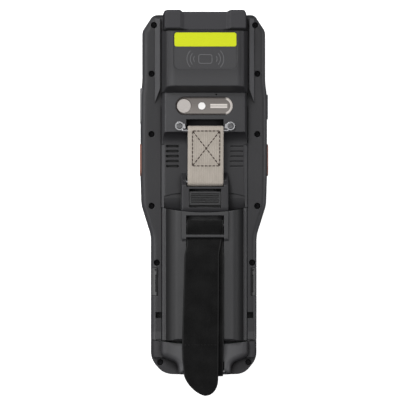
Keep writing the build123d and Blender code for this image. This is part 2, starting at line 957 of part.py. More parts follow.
window_half_height = (window_top - window_bottom) / 2
window_height = (window_top + window_bottom) / 2
window_y = cap_end_y - window_recess - window_thickness

# Corner bumper that stands proud of the end and of the top, and slopes down inwards
bumper_foot_x = bumper_inner_x - bumper_slope

with BuildPart() as bumper:
    with BuildSketch(Plane.XY.offset(back_base + wall)):
        with BuildLine():
            FilletPolyline(
                (bumper_foot_x, cap_start_y + bumper_setback),
                (cap_half_width, cap_start_y + bumper_setback),
                (cap_half_width, cap_end_y - bumper_reach),
                (cap_half_width - bumper_reach, cap_end_y + bumper_reach),
                (bumper_inner_x, cap_end_y + bumper_reach),
                (bumper_foot_x, cap_end_y - bumper_reach),
                radius=[1, 2, 1.5, 1.5],
            )
            Line(
                (bumper_foot_x, cap_end_y - bumper_reach),
                (bumper_foot_x, cap_start_y + bumper_setback),
            )
        make_face()
    extrude(amount=cap_height + bumper_rise - back_base - wall)
    fillet(bumper.edges().group_by(Axis.Z)[-1], radius=cap_edge_radius)
    with BuildSketch(Plane.XZ.offset(-cap_start_y)):
        with BuildLine():
            Polyline(
                (bumper_foot_x, back_base),
                (body_half_width, back_base),
                (body_half_width, cap_height + bumper_rise),
                (bumper_inner_x, cap_height + bumper_rise),
                (bumper_foot_x, cap_height),
                (bumper_foot_x, back_base),
            )
        make_face()
    extrude(amount=cap_start_y - cap_end_y - 2 * bumper_reach, mode=Mode.INTERSECT)

with BuildPart() as head_end_cap:
    with BuildSketch(Plane.XY.offset(back_base)):
        with BuildLine():
            FilletPolyline(
                (0, cap_start_y),
                (cap_half_width, cap_start_y),
                (cap_half_width, cap_end_y - 2 * bumper_reach),
                (cap_half_width - bumper_reach, cap_end_y),
                (0, cap_end_y),
                radius=[0, 2, 1.5],
            )
            Line((0, cap_end_y), (0, cap_start_y))
        make_face()
        mirror(about=Plane.YZ)
    extrude(amount=cap_height - back_base)
    fillet(head_end_cap.edges().group_by(Axis.Z)[-1].sort_by(Axis.Y)[1:], radius=cap_edge_radius)
    add(bumper.part)
    add(mirror(bumper.part, about=Plane.YZ, mode=Mode.PRIVATE))
    # Window seat in the end face, engine pocket behind it, beam opening between them
    with BuildSketch(Plane.XZ.offset(-cap_end_y - 2 * bumper_reach)):
        with Locations((0, window_height)):
            Rectangle(2 * (window_half_width + seat_gap), 2 * (window_half_height + seat_gap))
    extrude(amount=2 * bumper_reach + window_recess + window_thickness, mode=Mode.SUBTRACT)
    with BuildSketch(Plane.XZ.offset(-window_y)):
        with Locations((0, window_height)):
            Rectangle(2 * (engine_half_width - window_ledge), 2 * (window_half_height - window_ledge))
    extrude(amount=window_ledge, mode=Mode.SUBTRACT)
    with BuildSketch(Plane.XZ.offset(-window_y + window_ledge)):
        with Locations((0, window_bottom + (engine_height + seat_gap) / 2)):
            Rectangle(2 * (engine_half_width + seat_gap), engine_height + seat_gap)
    extrude(amount=cap_end_y - cap_start_y, mode=Mode.SUBTRACT)
write(head_end_cap.part, "head_end_cap")

with BuildPart() as scan_window:
    with BuildSketch(Plane.XZ.offset(-window_y)):
        with Locations((0, window_height)):
            RectangleRounded(2 * window_half_width, 2 * window_half_height, 1)
    extrude(amount=-window_thickness)
write(scan_window.part, "scan_window")

with BuildPart() as scan_engine:
    with BuildSketch(Plane.XZ.offset(-window_y + window_ledge + seat_gap)):
        with Locations((0, window_bottom + engine_height / 2)):
            Rectangle(2 * engine_half_width, engine_height)
    extrude(amount=engine_length)
    # Lens barrel and aiming lamp sunk into the front of the engine
    with BuildSketch(Plane.XZ.offset(-window_y + window_ledge + seat_gap)):
        with Locations((-engine_half_width / 3, window_bottom + engine_height / 2)):
            Circle(engine_height / 4)
        with Locations((engine_half_width / 2, window_bottom + engine_height / 2)):
            Circle(engine_height / 7)
    extrude(amount=window_ledge, mode=Mode.SUBTRACT)
write(scan_engine.part, "scan_engine")

# ---------------------------------------------------------------------------------------------
# Camera and speaker
# ---------------------------------------------------------------------------------------------

with BuildPart() as camera_bezel:
    with BuildSketch(Plane.XY.offset(bezel_floor)):
        with Locations((bezel_x, camera_y)):
            SlotOverall(bezel_length, bezel_width)
        with Locations((lens_x, camera_y)):
            Circle(lens_radius + seat_gap, mode=Mode.SUBTRACT)
        with Locations((flash_x, camera_y)):
            Circle(flash_radius + seat_gap, mode=Mode.SUBTRACT)
    extrude(amount=bezel_thickness)
    chamfer(camera_bezel.edges().group_by(Axis.Z)[-1].sort_by(Edge.length)[-4:], length=0.3)
write(camera_bezel.part, "camera_bezel")

with BuildPart() as camera_lens:
    with BuildSketch(Plane.XY.offset(bezel_floor)):
        with Locations((lens_x, camera_y)):
            Circle(lens_radius)
    extrude(amount=lens_thickness)
write(camera_lens.part, "camera_lens")

with BuildPart() as flash_lens:
    with BuildSketch(Plane.XY.offset(bezel_floor)):
        with Locations((flash_x, camera_y)):
            Circle(flash_radius)
    extrude(amount=lens_thickness)
write(flash_lens.part, "flash_lens")

with BuildPart() as camera_module:
    with BuildSketch(Plane.XY.offset(plateau_roof - camera_body_height)):
        with Locations((lens_x, camera_y)):
            Rectangle(camera_body, camera_body)
    extrude(amount=camera_body_height - seat_gap)
    with BuildSketch(Plane.XY.offset(plateau_roof - camera_body_height)):
        with Locations(((lens_x + flash_x) / 2, camera_y)):
            Rectangle(flash_x - lens_x + 2 * flash_radius, camera_body / 2)
    extrude(amount=1)
    with BuildSketch(Plane.XY.offset(plateau_roof - camera_body_height)):
        with Locations((lens_x, camera_y)):
            Circle(lens_radius - lens_lip - seat_gap)
        with Locations((flash_x, camera_y)):
            Circle(flash_radius - lens_lip - seat_gap)
    extrude(amount=camera_body_height + roof - bezel_depth - seat_gap)
write(camera_module.part, "camera_module")

with BuildPart() as speaker:
    with BuildSketch(Plane.XY.offset(column_roof - speaker_height)):
        with Locations((grille_x + slide_gap, grille_y)):
            RectangleRounded(speaker_width - 2 * slide_gap, speaker_length, 2)
    extrude(amount=speaker_height)
    with BuildSketch(Plane.XY.offset(column_roof - 1)):
        with Locations((grille_x + slide_gap, grille_y)):
            RectangleRounded(speaker_width - 4 * slide_gap - 1, speaker_length - 2, 1.5)
    extrude(amount=1, mode=Mode.SUBTRACT)
write(speaker.part, "speaker")

# ---------------------------------------------------------------------------------------------
# Top strap bar, its screws, the webbing link and its lower pin
# ---------------------------------------------------------------------------------------------

eye_top = plateau_height + eye_thickness

bar_arm_x = webbing_width / 2 + webbing_x + slide_gap + bar_radius
bar_bend_x = bar_arm_x + bar_radius / 2

# A round bar under the webbing, cranked at both ends to flat arms with an eye each
with BuildPart() as strap_bar:
    with BuildSketch(Plane.YZ):
        with Locations((bar_loop_y, bar_height)):
            Circle(bar_radius)
    extrude(amount=bar_bend_x, both=True)
    for side in (-1, 1):
        with BuildSketch(Plane.XY.offset(plateau_height)):
            with BuildLine():
                Polyline(
                    (side * bar_arm_x, bar_loop_y),
                    (side * bar_bend_x, bar_y),
                    (side * eye_x, bar_y),
                )
            trace(line_width=2 * bar_radius)
            with Locations((side * eye_x, bar_y)):
                Circle(eye_radius)
        extrude(amount=eye_thickness)
    with BuildSketch(Plane.XY.offset(plateau_height)):
        with Locations((-eye_x, bar_y), (eye_x, bar_y)):
            Circle(bar_screw_shank_radius + seat_gap)
    extrude(amount=eye_thickness, mode=Mode.SUBTRACT)
write(strap_bar.part, "strap_bar")

with BuildPart() as strap_bar_screws:
    with BuildSketch(Plane.XY.offset(eye_top)):
        with Locations((-eye_x, bar_y), (eye_x, bar_y)):
            Circle(bar_screw_head_radius)
    extrude(amount=bar_screw_head_height)
    fillet(strap_bar_screws.edges().group_by(Axis.Z)[-1], radius=0.4)
    with BuildSketch(Plane.XY.offset(plateau_height - bar_screw_depth + slide_gap)):
        with Locations((-eye_x, bar_y), (eye_x, bar_y)):
            Circle(bar_screw_shank_radius)
    extrude(amount=eye_top - plateau_height + bar_screw_depth - slide_gap)
    with BuildSketch(Plane.XY.offset(eye_top + bar_screw_head_height / 3)):
        with Locations((-eye_x, bar_y), (eye_x, bar_y)):
            RegularPolygon(bar_socket_radius, 6)
    extrude(amount=bar_screw_head_height, mode=Mode.SUBTRACT)
write(strap_bar_screws.part, "strap_bar_screws")

bar_wrap = bar_radius + webbing_play + webbing_thickness
pin_wrap = link_pin_radius + webbing_play + webbing_thickness

# Two layers of webbing, sewn together between a loop round the bar and a loop round the pin
with BuildPart() as webbing_link:
    with BuildSketch(Plane.YZ.offset(webbing_x)):
        with Locations((bar_loop_y, bar_height)):
            Circle(bar_wrap)
        with Locations((link_pin_y, link_pin_height)):
            Circle(pin_wrap)
        with BuildLine():
            Polyline(
                (bar_loop_y, bar_height + bar_wrap),
                (bar_loop_y, bar_height + bar_wrap - 2 * webbing_thickness),
                (link_pin_y, link_pin_height + pin_wrap - 2 * webbing_thickness),
                (link_pin_y, link_pin_height + pin_wrap),
                (bar_loop_y, bar_height + bar_wrap),
            )
        make_face()
        with Locations((bar_loop_y, bar_height)):
            Circle(bar_radius + webbing_play, mode=Mode.SUBTRACT)
        with Locations((link_pin_y, link_pin_height)):
            Circle(link_pin_radius + webbing_play, mode=Mode.SUBTRACT)
    extrude(amount=webbing_width / 2, both=True)
write(webbing_link.part, "webbing_link")

with BuildPart() as webbing_pin:
    with BuildSketch(Plane.YZ):
        with Locations((link_pin_y, link_pin_height)):
            Circle(link_pin_radius)
    extrude(amount=spine_half_width - spine_wall + pin_seat_depth, both=True)
write(webbing_pin.part, "webbing_pin")

# ---------------------------------------------------------------------------------------------
# Battery latch and its springs
# ---------------------------------------------------------------------------------------------

latch_base = latch_floor + slide_gap / 2

with BuildPart() as battery_latch:
    with BuildSketch(Plane.XY.offset(latch_base)):
        with Locations((0, (latch_rest_y + latch_plate_end_y) / 2)):
            Rectangle(2 * latch_plate_half_width, latch_rest_y - latch_plate_end_y)
        with Locations((0, latch_plate_end_y - bolt_reach / 2)):
            Rectangle(2 * bolt_half_width, bolt_reach)
    extrude(amount=latch_plate_thickness)
    with BuildSketch(Plane.XY.offset(latch_base)):
        with Locations((0, (latch_rest_y + latch_end_y) / 2)):
            Rectangle(2 * latch_half_width, latch_length)
    extrude(amount=latch_height)
    # Ribs across the button
    rib_count = int(latch_length / rib_pitch) - 1
    with BuildSketch(Plane.XY.offset(latch_base + latch_height - rib_depth)):
        with Locations((0, (latch_rest_y + latch_end_y) / 2)):
            with GridLocations(0, rib_pitch, 1, rib_count):
                Rectangle(2 * latch_half_width - 2, rib_pitch / 2)
    extrude(amount=rib_depth, mode=Mode.SUBTRACT)
    # Spring pockets in the upper edge
    with BuildSketch(Plane.XZ.offset(-latch_rest_y)):
        with Locations((-spring_x, spring_height), (spring_x, spring_height)):
            Circle(spring_radius + seat_gap)
    extrude(amount=spring_pocket, mode=Mode.SUBTRACT)
write(battery_latch.part, "battery_latch")

with BuildPart() as latch_spring:
    with BuildSketch(Plane.XZ.offset(-mouth_bar_end_y)):
        with Locations((-spring_x, spring_height), (spring_x, spring_height)):
            Circle(spring_radius)
            Circle(spring_bore, mode=Mode.SUBTRACT)
    extrude(amount=mouth_bar_end_y - latch_rest_y + spring_pocket)
write(latch_spring.part, "latch_spring")

# ---------------------------------------------------------------------------------------------
# Battery pack
# ---------------------------------------------------------------------------------------------

pack_half_width = bay_half_width - pack_gap
bulge_foot_x = pack_half_width - pack_shoulder_width
pack_top_y = seam_y - pack_gap

with BuildPart() as battery_pack:
    # Cross-section: straight sides, a narrow shoulder, then the rounded bulge
    with BuildSketch(Plane.XZ.offset(-seam_y - 2 * seam_bow)):
        with BuildLine():
            FilletPolyline(
                (0, bay_floor),
                (pack_half_width, bay_floor),
                (pack_half_width, pack_shoulder),
                (bulge_foot_x, pack_shoulder),
                (bulge_foot_x - pack_bulge_lean, pack_height - 0.4),
                (0, pack_height),
                radius=[0, 0.8, 0.6, pack_bulge_radius],
            )
            Line((0, pack_height), (0, bay_floor))
        make_face()
        mirror(about=Plane.YZ)
    extrude(amount=seam_y + 2 * seam_bow - pack_end_y)
    # Raised frame round the strap slot, in line with the spine
    with BuildSketch(Plane.YZ):
        with BuildLine():
            FilletPolyline(
                (seam_y + 2 * seam_bow, pack_shoulder),
                (seam_y + 2 * seam_bow, spine_height),
                (keeper_end_y - 0.6, spine_height),
                (keeper_end_y - 3.4, pack_height - 1),
                (keeper_end_y - 3.4, pack_shoulder),
                (seam_y + 2 * seam_bow, pack_shoulder),
                radius=[0, 2, 0, 0, 0],
            )
        make_face()
    extrude(amount=spine_half_width, both=True)
    # Lower end of the bulge slopes down towards the bottom cap
    with BuildSketch(Plane.YZ):
        with BuildLine():
            Polyline(
                (pack_end_y + pack_end_slope, pack_height + 1),
                (pack_end_y + pack_end_slope, pack_height),
                (pack_end_y, pack_height - pack_end_slope),
                (pack_end_y - 1, pack_height - pack_end_slope),
                (pack_end_y - 1, pack_height + 1),
                (pack_end_y + pack_end_slope, pack_height + 1),
            )
        make_face()
    extrude(amount=pack_half_width, both=True, mode=Mode.SUBTRACT)
    # Bowed upper end, set back from the housing by the pack's gap
    with BuildSketch(Plane.XY.offset(bay_floor)):
        add(bay_plan(pack_gap))
    extrude(amount=spine_height, mode=Mode.INTERSECT)
    # Strap slot with its keeper bar, and the ramp that lets the strap out
    with BuildSketch(Plane.YZ):
        with BuildLine():
            Polyline(
                (slot_top_y, spine_height + 1),
                (slot_top_y, slot_floor),
                (slot_end_y, slot_floor),
                (slot_end_y, ramp_floor),
                (keeper_end_y, ramp_floor + 0.6),
                (keeper_end_y - strap_exit, pack_height + 0.1),
                (keeper_end_y - strap_exit, spine_height + 1),
                (slot_top_y, spine_height + 1),
            )
        make_face()
    extrude(amount=slot_half_width, both=True, mode=Mode.SUBTRACT)
    with BuildSketch(Plane.YZ):
        with Locations(((slot_end_y + keeper_end_y) / 2, spine_height - keeper_height / 2)):
            RectangleRounded(keeper_width, keeper_height, keeper_width / 4)
    extrude(amount=slot_half_width + 0.5, both=True)
    # Seats for the strap pin
    with BuildSketch(Plane.YZ):
        with Locations((strap_pin_y, strap_pin_height)):
            Circle(strap_pin_radius)
    extrude(amount=slot_half_width + pin_seat_depth, both=True, mode=Mode.SUBTRACT)
    # Window for the latch's bolt
    with BuildSketch(Plane.XY.offset(latch_floor)):
        with Locations((0, (seam_y + slot_top_y) / 2)):
            Rectangle(2 * (bolt_half_width + slide_gap), slot_start + 1)
    extrude(amount=latch_plate_thickness + 2 * slide_gap, mode=Mode.SUBTRACT)
    # Hollow for the cells, closed by the lid
    with BuildSketch(Plane.XY.offset(bay_floor)):
        with Locations((0, (pack_top_y + pack_end_y) / 2)):
            Rectangle(
                2 * (pack_half_width - pack_wall + pack_lid_ledge),
                pack_top_y - pack_end_y - 2 * (pack_wall - pack_lid_ledge),
            )
    extrude(amount=pack_lid_thickness, mode=Mode.SUBTRACT)
    with BuildSketch(Plane.XY.offset(bay_floor)):
        with Locations((0, (keeper_end_y - strap_exit + pack_end_y) / 2)):
            Rectangle(
                2 * (bulge_foot_x - pack_bulge_lean - pack_wall),
                keeper_end_y - strap_exit - pack_end_y - 2 * pack_wall,
            )
    extrude(
        amount=pack_height - pack_wall - pack_end_slope / 2 - bay_floor,
        mode=Mode.SUBTRACT,
    )
write(battery_pack.part, "battery_pack")

with BuildPart() as battery_lid:
    with BuildSketch(Plane.XY.offset(bay_floor)):
        with Locations((0, (pack_top_y + pack_end_y) / 2)):
            Rectangle(
                2 * (pack_half_width - pack_wall + pack_lid_ledge - seat_gap),
                pack_top_y - pack_end_y - 2 * (pack_wall - pack_lid_ledge + seat_gap),
            )
    extrude(amount=pack_lid_thickness)
write(battery_lid.part, "battery_lid")

cell_half_width = bulge_foot_x - pack_bulge_lean - pack_wall - cell_margin
cell_length = keeper_end_y - strap_exit - pack_end_y - 2 * (pack_wall + cell_margin)

with BuildPart() as battery_cells:
    with BuildSketch(Plane.XY.offset(bay_floor + pack_lid_thickness)):
        with Locations((0, (keeper_end_y - strap_exit + pack_end_y) / 2)):
            with GridLocations(cell_half_width + cell_margin / 4, 0, 2, 1):
                RectangleRounded(cell_half_width - cell_margin / 4, cell_length, 2)
    extrude(amount=cell_height)
write(battery_cells.part, "battery_cells")

with BuildPart() as battery_contacts:
    with BuildSketch(Plane.XY.offset(board_top)):
        with Locations((0, seam_y - contact_block_drop)):
            Rectangle(2 * contact_block_half_width, contact_block_length)
    extrude(amount=bay_floor - board_top)
write(battery_contacts.part, "battery_contacts")

with BuildPart() as strap_pin:
    with BuildSketch(Plane.YZ):
        with Locations((strap_pin_y, strap_pin_height)):
            Circle(strap_pin_radius)
    extrude(amount=slot_half_width + pin_seat_depth, both=True)
write(strap_pin.part, "strap_pin")

# ---------------------------------------------------------------------------------------------
# Bottom cap with the lower strap bar
# ---------------------------------------------------------------------------------------------

with BuildPart() as end_hump:
    with BuildSketch(Plane.XY.offset(back_base + roof)):
        with BuildLine():
            FilletPolyline(
                (0, bay_end_y + end_seam_bow),
                (end_hump_half_width, bay_end_y + end_seam_bow),
                (end_hump_half_width, end_hump_shoulder_y),
                (end_hump_tip_half_width, end_hump_neck_y),
                (end_hump_tip_half_width - 0.4, casing_bottom_y + 0.1),
                (0, casing_bottom_y + 0.1),
                radius=[0, 4, 4.2, 1.5],
            )
            Line((0, casing_bottom_y + 0.1), (0, bay_end_y + end_seam_bow))
        make_face()
        mirror(about=Plane.YZ)
    extrude(amount=end_hump_height - back_base - roof)
    fillet(end_hump.edges().group_by(Axis.Z)[-1].sort_by(Axis.Y)[:-1], radius=end_hump_radius)

with BuildPart() as bottom_cap:
    with BuildSketch(Plane.XY.offset(back_base)):
        add(casing_outline)
    extrude(amount=cap_flank_height - back_base)
    fillet(bottom_cap.edges().group_by(Axis.Z)[-1], radius=back_edge_radius)
    # Lower corners beside the hump
    with BuildSketch(Plane.XY.offset(cap_corner_height)):
        with Locations((0, (cap_corner_y + casing_bottom_y) / 2 - 1)):
            Rectangle(2 * body_half_width, cap_corner_y - casing_bottom_y + 2)
    extrude(amount=cap_flank_height, mode=Mode.SUBTRACT)
    add(end_hump.part)
    with BuildSketch(Plane.XY.offset(back_base)):
        add(end_region(-seam_gap))
    extrude(amount=end_hump_height, mode=Mode.INTERSECT)
    # Open notch for the strap, crossed by the bar
    with BuildSketch(Plane.XY.offset(end_notch_floor)):
        with Locations((0, end_notch_y - end_hump_height / 2)):
            Rectangle(2 * end_notch_half_width, end_hump_height)
    extrude(amount=end_hump_height, mode=Mode.SUBTRACT)
    with BuildSketch(Plane.YZ):
        with Locations((end_bar_y, end_bar_height)):
            Circle(end_bar_radius)
    extrude(amount=end_notch_half_width + pin_seat_depth, both=True, mode=Mode.SUBTRACT)
    with BuildSketch(Plane.XY.offset(screw_seat_height)):
        with Locations(*screw_points):
            Circle(screw_hole_radius)
    extrude(amount=flank_height, mode=Mode.SUBTRACT)
    with BuildSketch(Plane.XY.offset(back_base)):
        with Locations(*screw_points):
            Circle(screw_shank_radius + seat_gap)
    extrude(amount=screw_seat_height - back_base, mode=Mode.SUBTRACT)
write(bottom_cap.part, "bottom_cap")

with BuildPart() as bottom_strap_bar:
    with BuildSketch(Plane.YZ):
        with Locations((end_bar_y, end_bar_height)):
            Circle(end_bar_radius)
    extrude(amount=end_notch_half_width + pin_seat_depth, both=True)
write(bottom_strap_bar.part, "bottom_strap_bar")

# ---------------------------------------------------------------------------------------------
# Hand strap: one band from the lower bar, round the strap pin and back to its free tip
# ---------------------------------------------------------------------------------------------

half_strap = strap_thickness / 2
end_wrap = end_bar_radius + webbing_play + half_strap
pin_loop = strap_pin_radius + webbing_play + half_strap
under_z = pack_height + strap_lift + half_strap
over_z = under_z + strap_layer_rise
keeper_under = spine_height - keeper_height - slide_gap - half_strap
neck_z = keeper_under - strap_thickness - slide_gap
loop_y = strap_pin_y + pin_loop
entry_y = slot_end_y + strap_entry
ramp_y = keeper_end_y - strap_exit

# The upper layer leaves the pin along the tangent that meets it in front of the keeper
leave_angle = asin(pin_loop / hypot(strap_pin_y - entry_y, strap_pin_height - keeper_under))
leave_angle += atan2(strap_pin_height - keeper_under, strap_pin_y - entry_y)
loop_corner_z = keeper_under + (loop_y - entry_y) * tan(leave_angle)

under_path = [
    (end_notch_y - strap_thickness, end_bar_height - end_wrap),
    (end_bar_y - end_wrap, end_bar_height - end_wrap),
    (end_bar_y - end_wrap, end_bar_height + end_wrap),
    (end_notch_y, end_hump_height + strap_lift + half_strap),
    (end_cap_y + pack_end_slope, under_z),
    (ramp_y, under_z),
    (keeper_end_y - half_strap, neck_z),
    (strap_pin_y - pin_loop, strap_pin_height - pin_loop),
    (loop_y, strap_pin_height - pin_loop),
    (loop_y, strap_pin_height + half_strap),
]
under_radii = [end_wrap, end_wrap, 6, 10, 6, 5, 3, pin_loop]
over_path = [
    (loop_y, strap_pin_height - half_strap),
    (loop_y, loop_corner_z),
    (entry_y, keeper_under),
    (keeper_end_y - half_strap, keeper_under),
    (ramp_y, over_z),
    ((keeper_end_y + end_cap_y) / 2, over_z + strap_crown),
    (end_cap_y - strap_exit, over_z),
    (strap_tip_y - 1, over_z - strap_tip_drop),
]
over_radii = [pin_loop, 2, 4, 8, 200, 40]

# The upper layer lies a little askew and ends in a round tip
with BuildPart() as strap_tail:
    with BuildSketch(Plane.YZ):
        with BuildLine():
            FilletPolyline(*over_path, radius=over_radii)
        trace(line_width=strap_thickness)
    extrude(amount=strap_width, both=True)
    with BuildSketch(Plane.XY.offset(slot_floor)):
        with BuildLine():
            Polyline(
                (strap_right_x - strap_right_lean, strap_right_end_y),
                (strap_right_x, ramp_y),
                (strap_width / 2, entry_y),
                (strap_width / 2, slot_top_y),
                (-strap_width / 2, slot_top_y),
                (-strap_width / 2, keeper_end_y - strap_exit / 2),
                (strap_left_x, ramp_y),
                (strap_wide_x, strap_wide_y),
            )
            Spline(
                (strap_wide_x, strap_wide_y),
                (strap_neck_x, strap_neck_y),
                (strap_tip_x, strap_tip_y),
                (strap_right_x - strap_right_lean, strap_right_end_y),
                tangents=((0, -1), (0, 1)),
            )
        make_face()
    extrude(amount=spine_height, mode=Mode.INTERSECT)

with BuildPart() as hand_strap:
    with BuildSketch(Plane.YZ):
        with BuildLine():
            FilletPolyline(*under_path, radius=under_radii)
        trace(line_width=strap_thickness)
    extrude(amount=strap_width / 2, both=True)
    add(strap_tail.part)
write(hand_strap.part, "hand_strap")

# ---------------------------------------------------------------------------------------------
# Side keys: each slides in through its window, with a flange behind the wall
# ---------------------------------------------------------------------------------------------

flange_x = body_half_width - wall - pivot_gap


def side_key(side, key_y, key_length, reach):
    """One side key with its flange; side is -1 on the left and 1 on the right."""
    with BuildPart() as key:
        with BuildSketch(Plane.YZ.offset(side * (flange_x - side_key_flange_thickness))):
            with Locations((key_y, side_key_height)):
                SlotOverall(key_length, side_key_depth)
        extrude(amount=side * (bulge_half_width + reach - flange_x + side_key_flange_thickness))
        fillet(key.edges().group_by(Axis.X)[side if side < 0 else -1 * side], radius=key_edge_radius)
        with BuildSketch(Plane.YZ.offset(side * (flange_x - side_key_flange_thickness))):
            with Locations((key_y, side_key_height)):
                SlotOverall(
                    key_length + 2 * side_key_flange, side_key_depth + 2 * side_key_flange
                )
        extrude(amount=side * side_key_flange_thickness)
    return key.part


write(side_key(-1, scan_key_y, scan_key_length, scan_key_reach), "left_scan_key")
write(side_key(1, scan_key_y, scan_key_length, scan_key_reach), "right_scan_key")
write(side_key(-1, volume_key_y, volume_key_length, volume_key_reach), "left_side_key")
write(side_key(1, hold_key_y, hold_key_length, volume_key_reach), "right_side_key")

# ---------------------------------------------------------------------------------------------
# Side contacts on the grip and the hinged covers over them
# ---------------------------------------------------------------------------------------------

cover_inner_x = grip_half_width - cover_plate
contact_outer_x = cover_inner_x - cover_gap
contact_z = (cover_bottom + flank_height - cover_plate) / 2

with BuildPart() as side_contacts:
    for side in (-1, 1):
        with BuildSketch(Plane.XZ.offset(-cover_y)):
            with Locations((side * (contact_outer_x - contact_depth / 2 - slide_gap), contact_z)):
                Rectangle(contact_depth - 2 * slide_gap, contact_height)
        extrude(amount=contact_length / 2, both=True)
write(side_contacts.part, "side_contacts")


def port_cover(side):
    """A cover that follows the flank, with a barrel and two stub pins along its lower edge."""
    with BuildPart() as cover:
        with BuildSketch(Plane.XZ.offset(-cover_y)):
            with BuildLine():
                Polyline(
                    (side * (grip_half_width + 1), cover_hinge_height),
                    (side * cover_inner_x, cover_hinge_height),
                    (side * cover_inner_x, flank_height - cover_plate),
                    (side * (grip_half_width - cover_top_inset), flank_height - cover_plate),
                    (side * (grip_half_width - cover_top_inset), flank_height + 1),
                    (side * (grip_half_width + 1), flank_height + 1),
                    (side * (grip_half_width + 1), cover_hinge_height),
                )
            make_face()
        extrude(amount=cover_length / 2, both=True)
        add(back_slab.part, mode=Mode.INTERSECT)
        # Groove for a fingernail, and a dimple above it
        with BuildSketch(Plane.XY.offset(flank_height - cover_groove_depth)):
            with Locations((side * (grip_half_width - cover_groove_edge), cover_y - 1)):
                SlotOverall(cover_groove_length, cover_groove_width, rotation=90)
            with Locations(
                (side * (grip_half_width - 2), cover_y + cover_length / 2 - 2 * cover_dimple_radius)
            ):
                Circle(cover_dimple_radius)
        extrude(amount=cover_groove_depth, mode=Mode.SUBTRACT)
        with BuildSketch(Plane.XZ.offset(-cover_y)):
            with Locations((side * cover_hinge_x, cover_hinge_height)):
                Circle(cover_barrel_radius)
        extrude(amount=cover_length / 2, both=True)
        with BuildSketch(Plane.XZ.offset(-cover_y)):
            with Locations((side * cover_hinge_x, cover_hinge_height)):
                Circle(cover_pin_radius)
        extrude(amount=cover_length / 2 + cover_gap + cover_pin_length, both=True)
    return cover.part


write(port_cover(-1), "left_port_cover")
write(port_cover(1), "right_port_cover")

# ---------------------------------------------------------------------------------------------
# Gasket, screws and front half of the casing
# ---------------------------------------------------------------------------------------------

with BuildPart() as housing_gasket:
    with BuildSketch(Plane.XY.offset(front_height)):
        add(casing_inset(gasket_inset))
        add(casing_inset(gasket_inset + gasket_width), mode=Mode.SUBTRACT)
    extrude(amount=gasket_height)
write(housing_gasket.part, "housing_gasket")

with BuildPart() as housing_screws:
    with BuildSketch(Plane.XY.offset(screw_seat_height)):
        with Locations(*screw_points):
            Circle(screw_head_radius)
    extrude(amount=screw_head_height)
    with BuildSketch(Plane.XY.offset(screw_seat_height - screw_length)):
        with Locations(*screw_points):
            Circle(screw_shank_radius)
    extrude(amount=screw_length)
    with BuildSketch(Plane.XY.offset(screw_seat_height + screw_head_height / 2)):
        with Locations(*screw_points):
            RegularPolygon(screw_head_radius / 2, 6)
    extrude(amount=screw_head_height, mode=Mode.SUBTRACT)
write(housing_screws.part, "housing_screws")

number_key_names = [
    "key_1",
    "key_2",
    "key_3",
    "key_4",
    "key_5",
    "key_6",
    "key_7",
    "key_8",
    "key_9",
    "key_star",
    "key_0",
    "key_hash",
]

# Seen from the front the first column is on the left, so it lies on the +X side here
number_key_points = [
    (number_column_pitch * (1 - index % 3), first_number_row_y - number_row_pitch * (index // 3))
    for index in range(len(number_key_names))
]
corner_key_points = {
    "left_soft_key": (-corner_key_x, navigation_key_y + corner_key_rise),
    "right_soft_key": (corner_key_x, navigation_key_y + corner_key_rise),
    "power_key": (-corner_key_x, navigation_key_y - corner_key_rise),
    "delete_key": (corner_key_x, navigation_key_y - corner_key_rise),
}


def round_key_plan(point, width, height, radius, margin):
    """The plan of one rounded key, grown by a margin."""
    with BuildSketch() as plan:
        with Locations(point):
            RectangleRounded(width + 2 * margin, height + 2 * margin, radius + margin)
    return plan.sketch


def key_plan(name, margin):
    """The plan of any front key, grown by a margin."""
    if name == "navigation_key":
        size = 2 * navigation_key_radius
        return round_key_plan((0, navigation_key_y), size, size, size * 0.499, margin)
    if name == "enter_key":
        size = 2 * enter_key_radius
        return round_key_plan((0, navigation_key_y), size, size, size * 0.499, margin)
    if name == "front_scan_key":
        return round_key_plan(
            (0, front_scan_key_y),
            front_scan_key_width,
            front_scan_key_height,
            number_key_radius,
            margin,
        )
    if name in corner_key_points:
        return round_key_plan(
            corner_key_points[name],
            corner_key_width,
            corner_key_height,
            number_key_radius,
            margin,
        )
    return round_key_plan(
        number_key_points[number_key_names.index(name)],
        number_key_width,
        number_key_height,
        number_key_radius,
        margin,
    )


plate_keys = ["navigation_key", "front_scan_key"] + list(corner_key_points) + number_key_names

